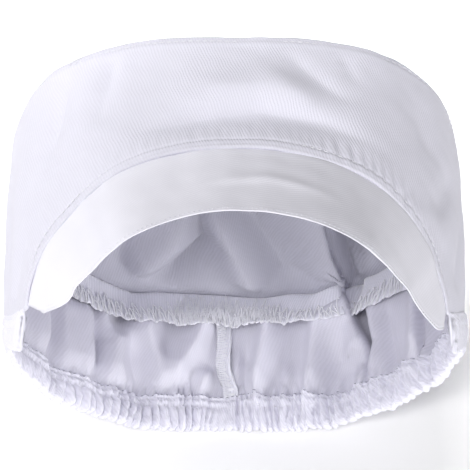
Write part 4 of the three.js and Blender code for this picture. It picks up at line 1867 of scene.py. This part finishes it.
# Each light's place, what it points at, its size and its power
LIGHTS = (
    SoftLight("left", (-1.0, 0.2, 0.75), (0, 0.02, 0.07), 0.45, 4.2),
    SoftLight("above", (0.25, -0.45, 1.2), (0, 0.0, 0.05), 0.35, 1.4),
    SoftLight("behind", (-0.6, 0.5, 1.0), (0, 0.0, 0.07), 0.4, 2.7),
    SoftLight("floor", (0.0, 0.55, 0.6), (0.0, 0.28, 0.0), 0.35, 1.0, spread=40.0),
    SoftLight("key", (-0.25, -0.5, 1.15), (0, 0.02, 0.04), 0.3, 4.2),
    SoftLight("fill", (-0.5, -0.8, 0.85), (0, 0.0, 0.04), 0.35, 3.0),
    SoftLight("left_low", (-1.0, -0.6, 0.5), (0, 0.0, 0.04), 0.35, 2.8),
    SoftLight("low_front", (0.3, -1.1, 0.3), (0, 0.0, 0.05), 0.35, 3.2),
    SoftLight("right_low", (0.95, -0.7, 0.35), (0, 0.0, 0.04), 0.35, 6.6),
)


@dataclass
class Studio:
    """A pale floor, soft lights and the camera."""

    elevation: float = 57.0
    distance: float = 1100.0
    pixels_per_mm: float = 2.39
    image: int = 470
    centre_pixel: tuple[float, float] = (234.5, 347.0)
    sensor: float = 36.0
    floor_half: float = 3.0  # metres
    sky: tuple[float, float, float] = (0.96, 0.965, 1.0)
    sky_strength: float = 0.02

    def camera(self) -> None:
        """Set the camera where the photo's stood, with the level's middle at its pixel."""
        tilt = math.radians(self.elevation)
        back = Vector((0, -math.cos(tilt), math.sin(tilt)))
        right = Vector((1, 0, 0))
        up = back.cross(right)
        half = self.image / 2
        aside = (self.centre_pixel[0] - half) / self.pixels_per_mm
        above = -(self.centre_pixel[1] - half) / self.pixels_per_mm
        target = Vector((0, -MIDDLE_Y, LEVEL)) - right * aside - up * above
        data = bpy.data.cameras.new("camera")
        data.sensor_width = self.sensor
        data.lens = self.pixels_per_mm * self.distance / self.image * data.sensor_width
        data.clip_end = 20
        made = bpy.data.objects.new("camera", data)
        made.location = (target + back * self.distance) * MM
        made.rotation_euler = (math.pi / 2 - tilt, 0, 0)
        bpy.context.scene.collection.objects.link(made)
        bpy.context.scene.camera = made

    def floor(self) -> None:
        """Lay a wide pale floor with a faint unevenness."""
        far = self.floor_half
        points = np.array([(-far, -far, 0), (far, -far, 0), (far, far, 0), (-far, far, 0)], float)
        made = mesh_object("floor", points, [[0, 1, 2, 3]])
        material, w = new_material("pale_floor")
        place = w.add("ShaderNodeTexCoord").outputs["Object"]
        grain = w.add("ShaderNodeTexNoise", vector=place, scale=30.0)
        ramp = w.add("ShaderNodeValToRGB", input_0=grain.outputs[0])
        ramp.color_ramp.elements[0].color = (0.96, 0.96, 0.96, 1)
        ramp.color_ramp.elements[1].color = (0.98, 0.98, 0.98, 1)
        shader = w.add("ShaderNodeBsdfPrincipled", base_color=ramp.outputs[0], roughness=0.9)
        w.add("ShaderNodeOutputMaterial", surface=shader.outputs[0])
        dress(made, material)

    def build(self) -> None:
        """Set up everything round the cap."""
        scene = bpy.context.scene
        scene.view_settings.view_transform = "Standard"
        world = bpy.data.worlds.new("studio")
        world.use_nodes = True
        background = world.node_tree.nodes["Background"]
        background.inputs["Color"].default_value = (*self.sky, 1)
        background.inputs["Strength"].default_value = self.sky_strength
        scene.world = world
        self.camera()
        self.floor()
        for light in LIGHTS:
            light.hang()


def main() -> None:
    """Build the studio and the cap in order."""
    logging.basicConfig(level=logging.INFO, format="%(name)s %(message)s")
    Studio().build()
    form = CapForm()
    dressing = Dressing.make()
    for part in (SideBand, CrownPanel, Visor, ElasticCasing, CrownAllowance, BackAllowance):
        part(form, dressing).build()
        LOG.info("%s done", part.__name__)


if __name__ == "__main__":
    main()
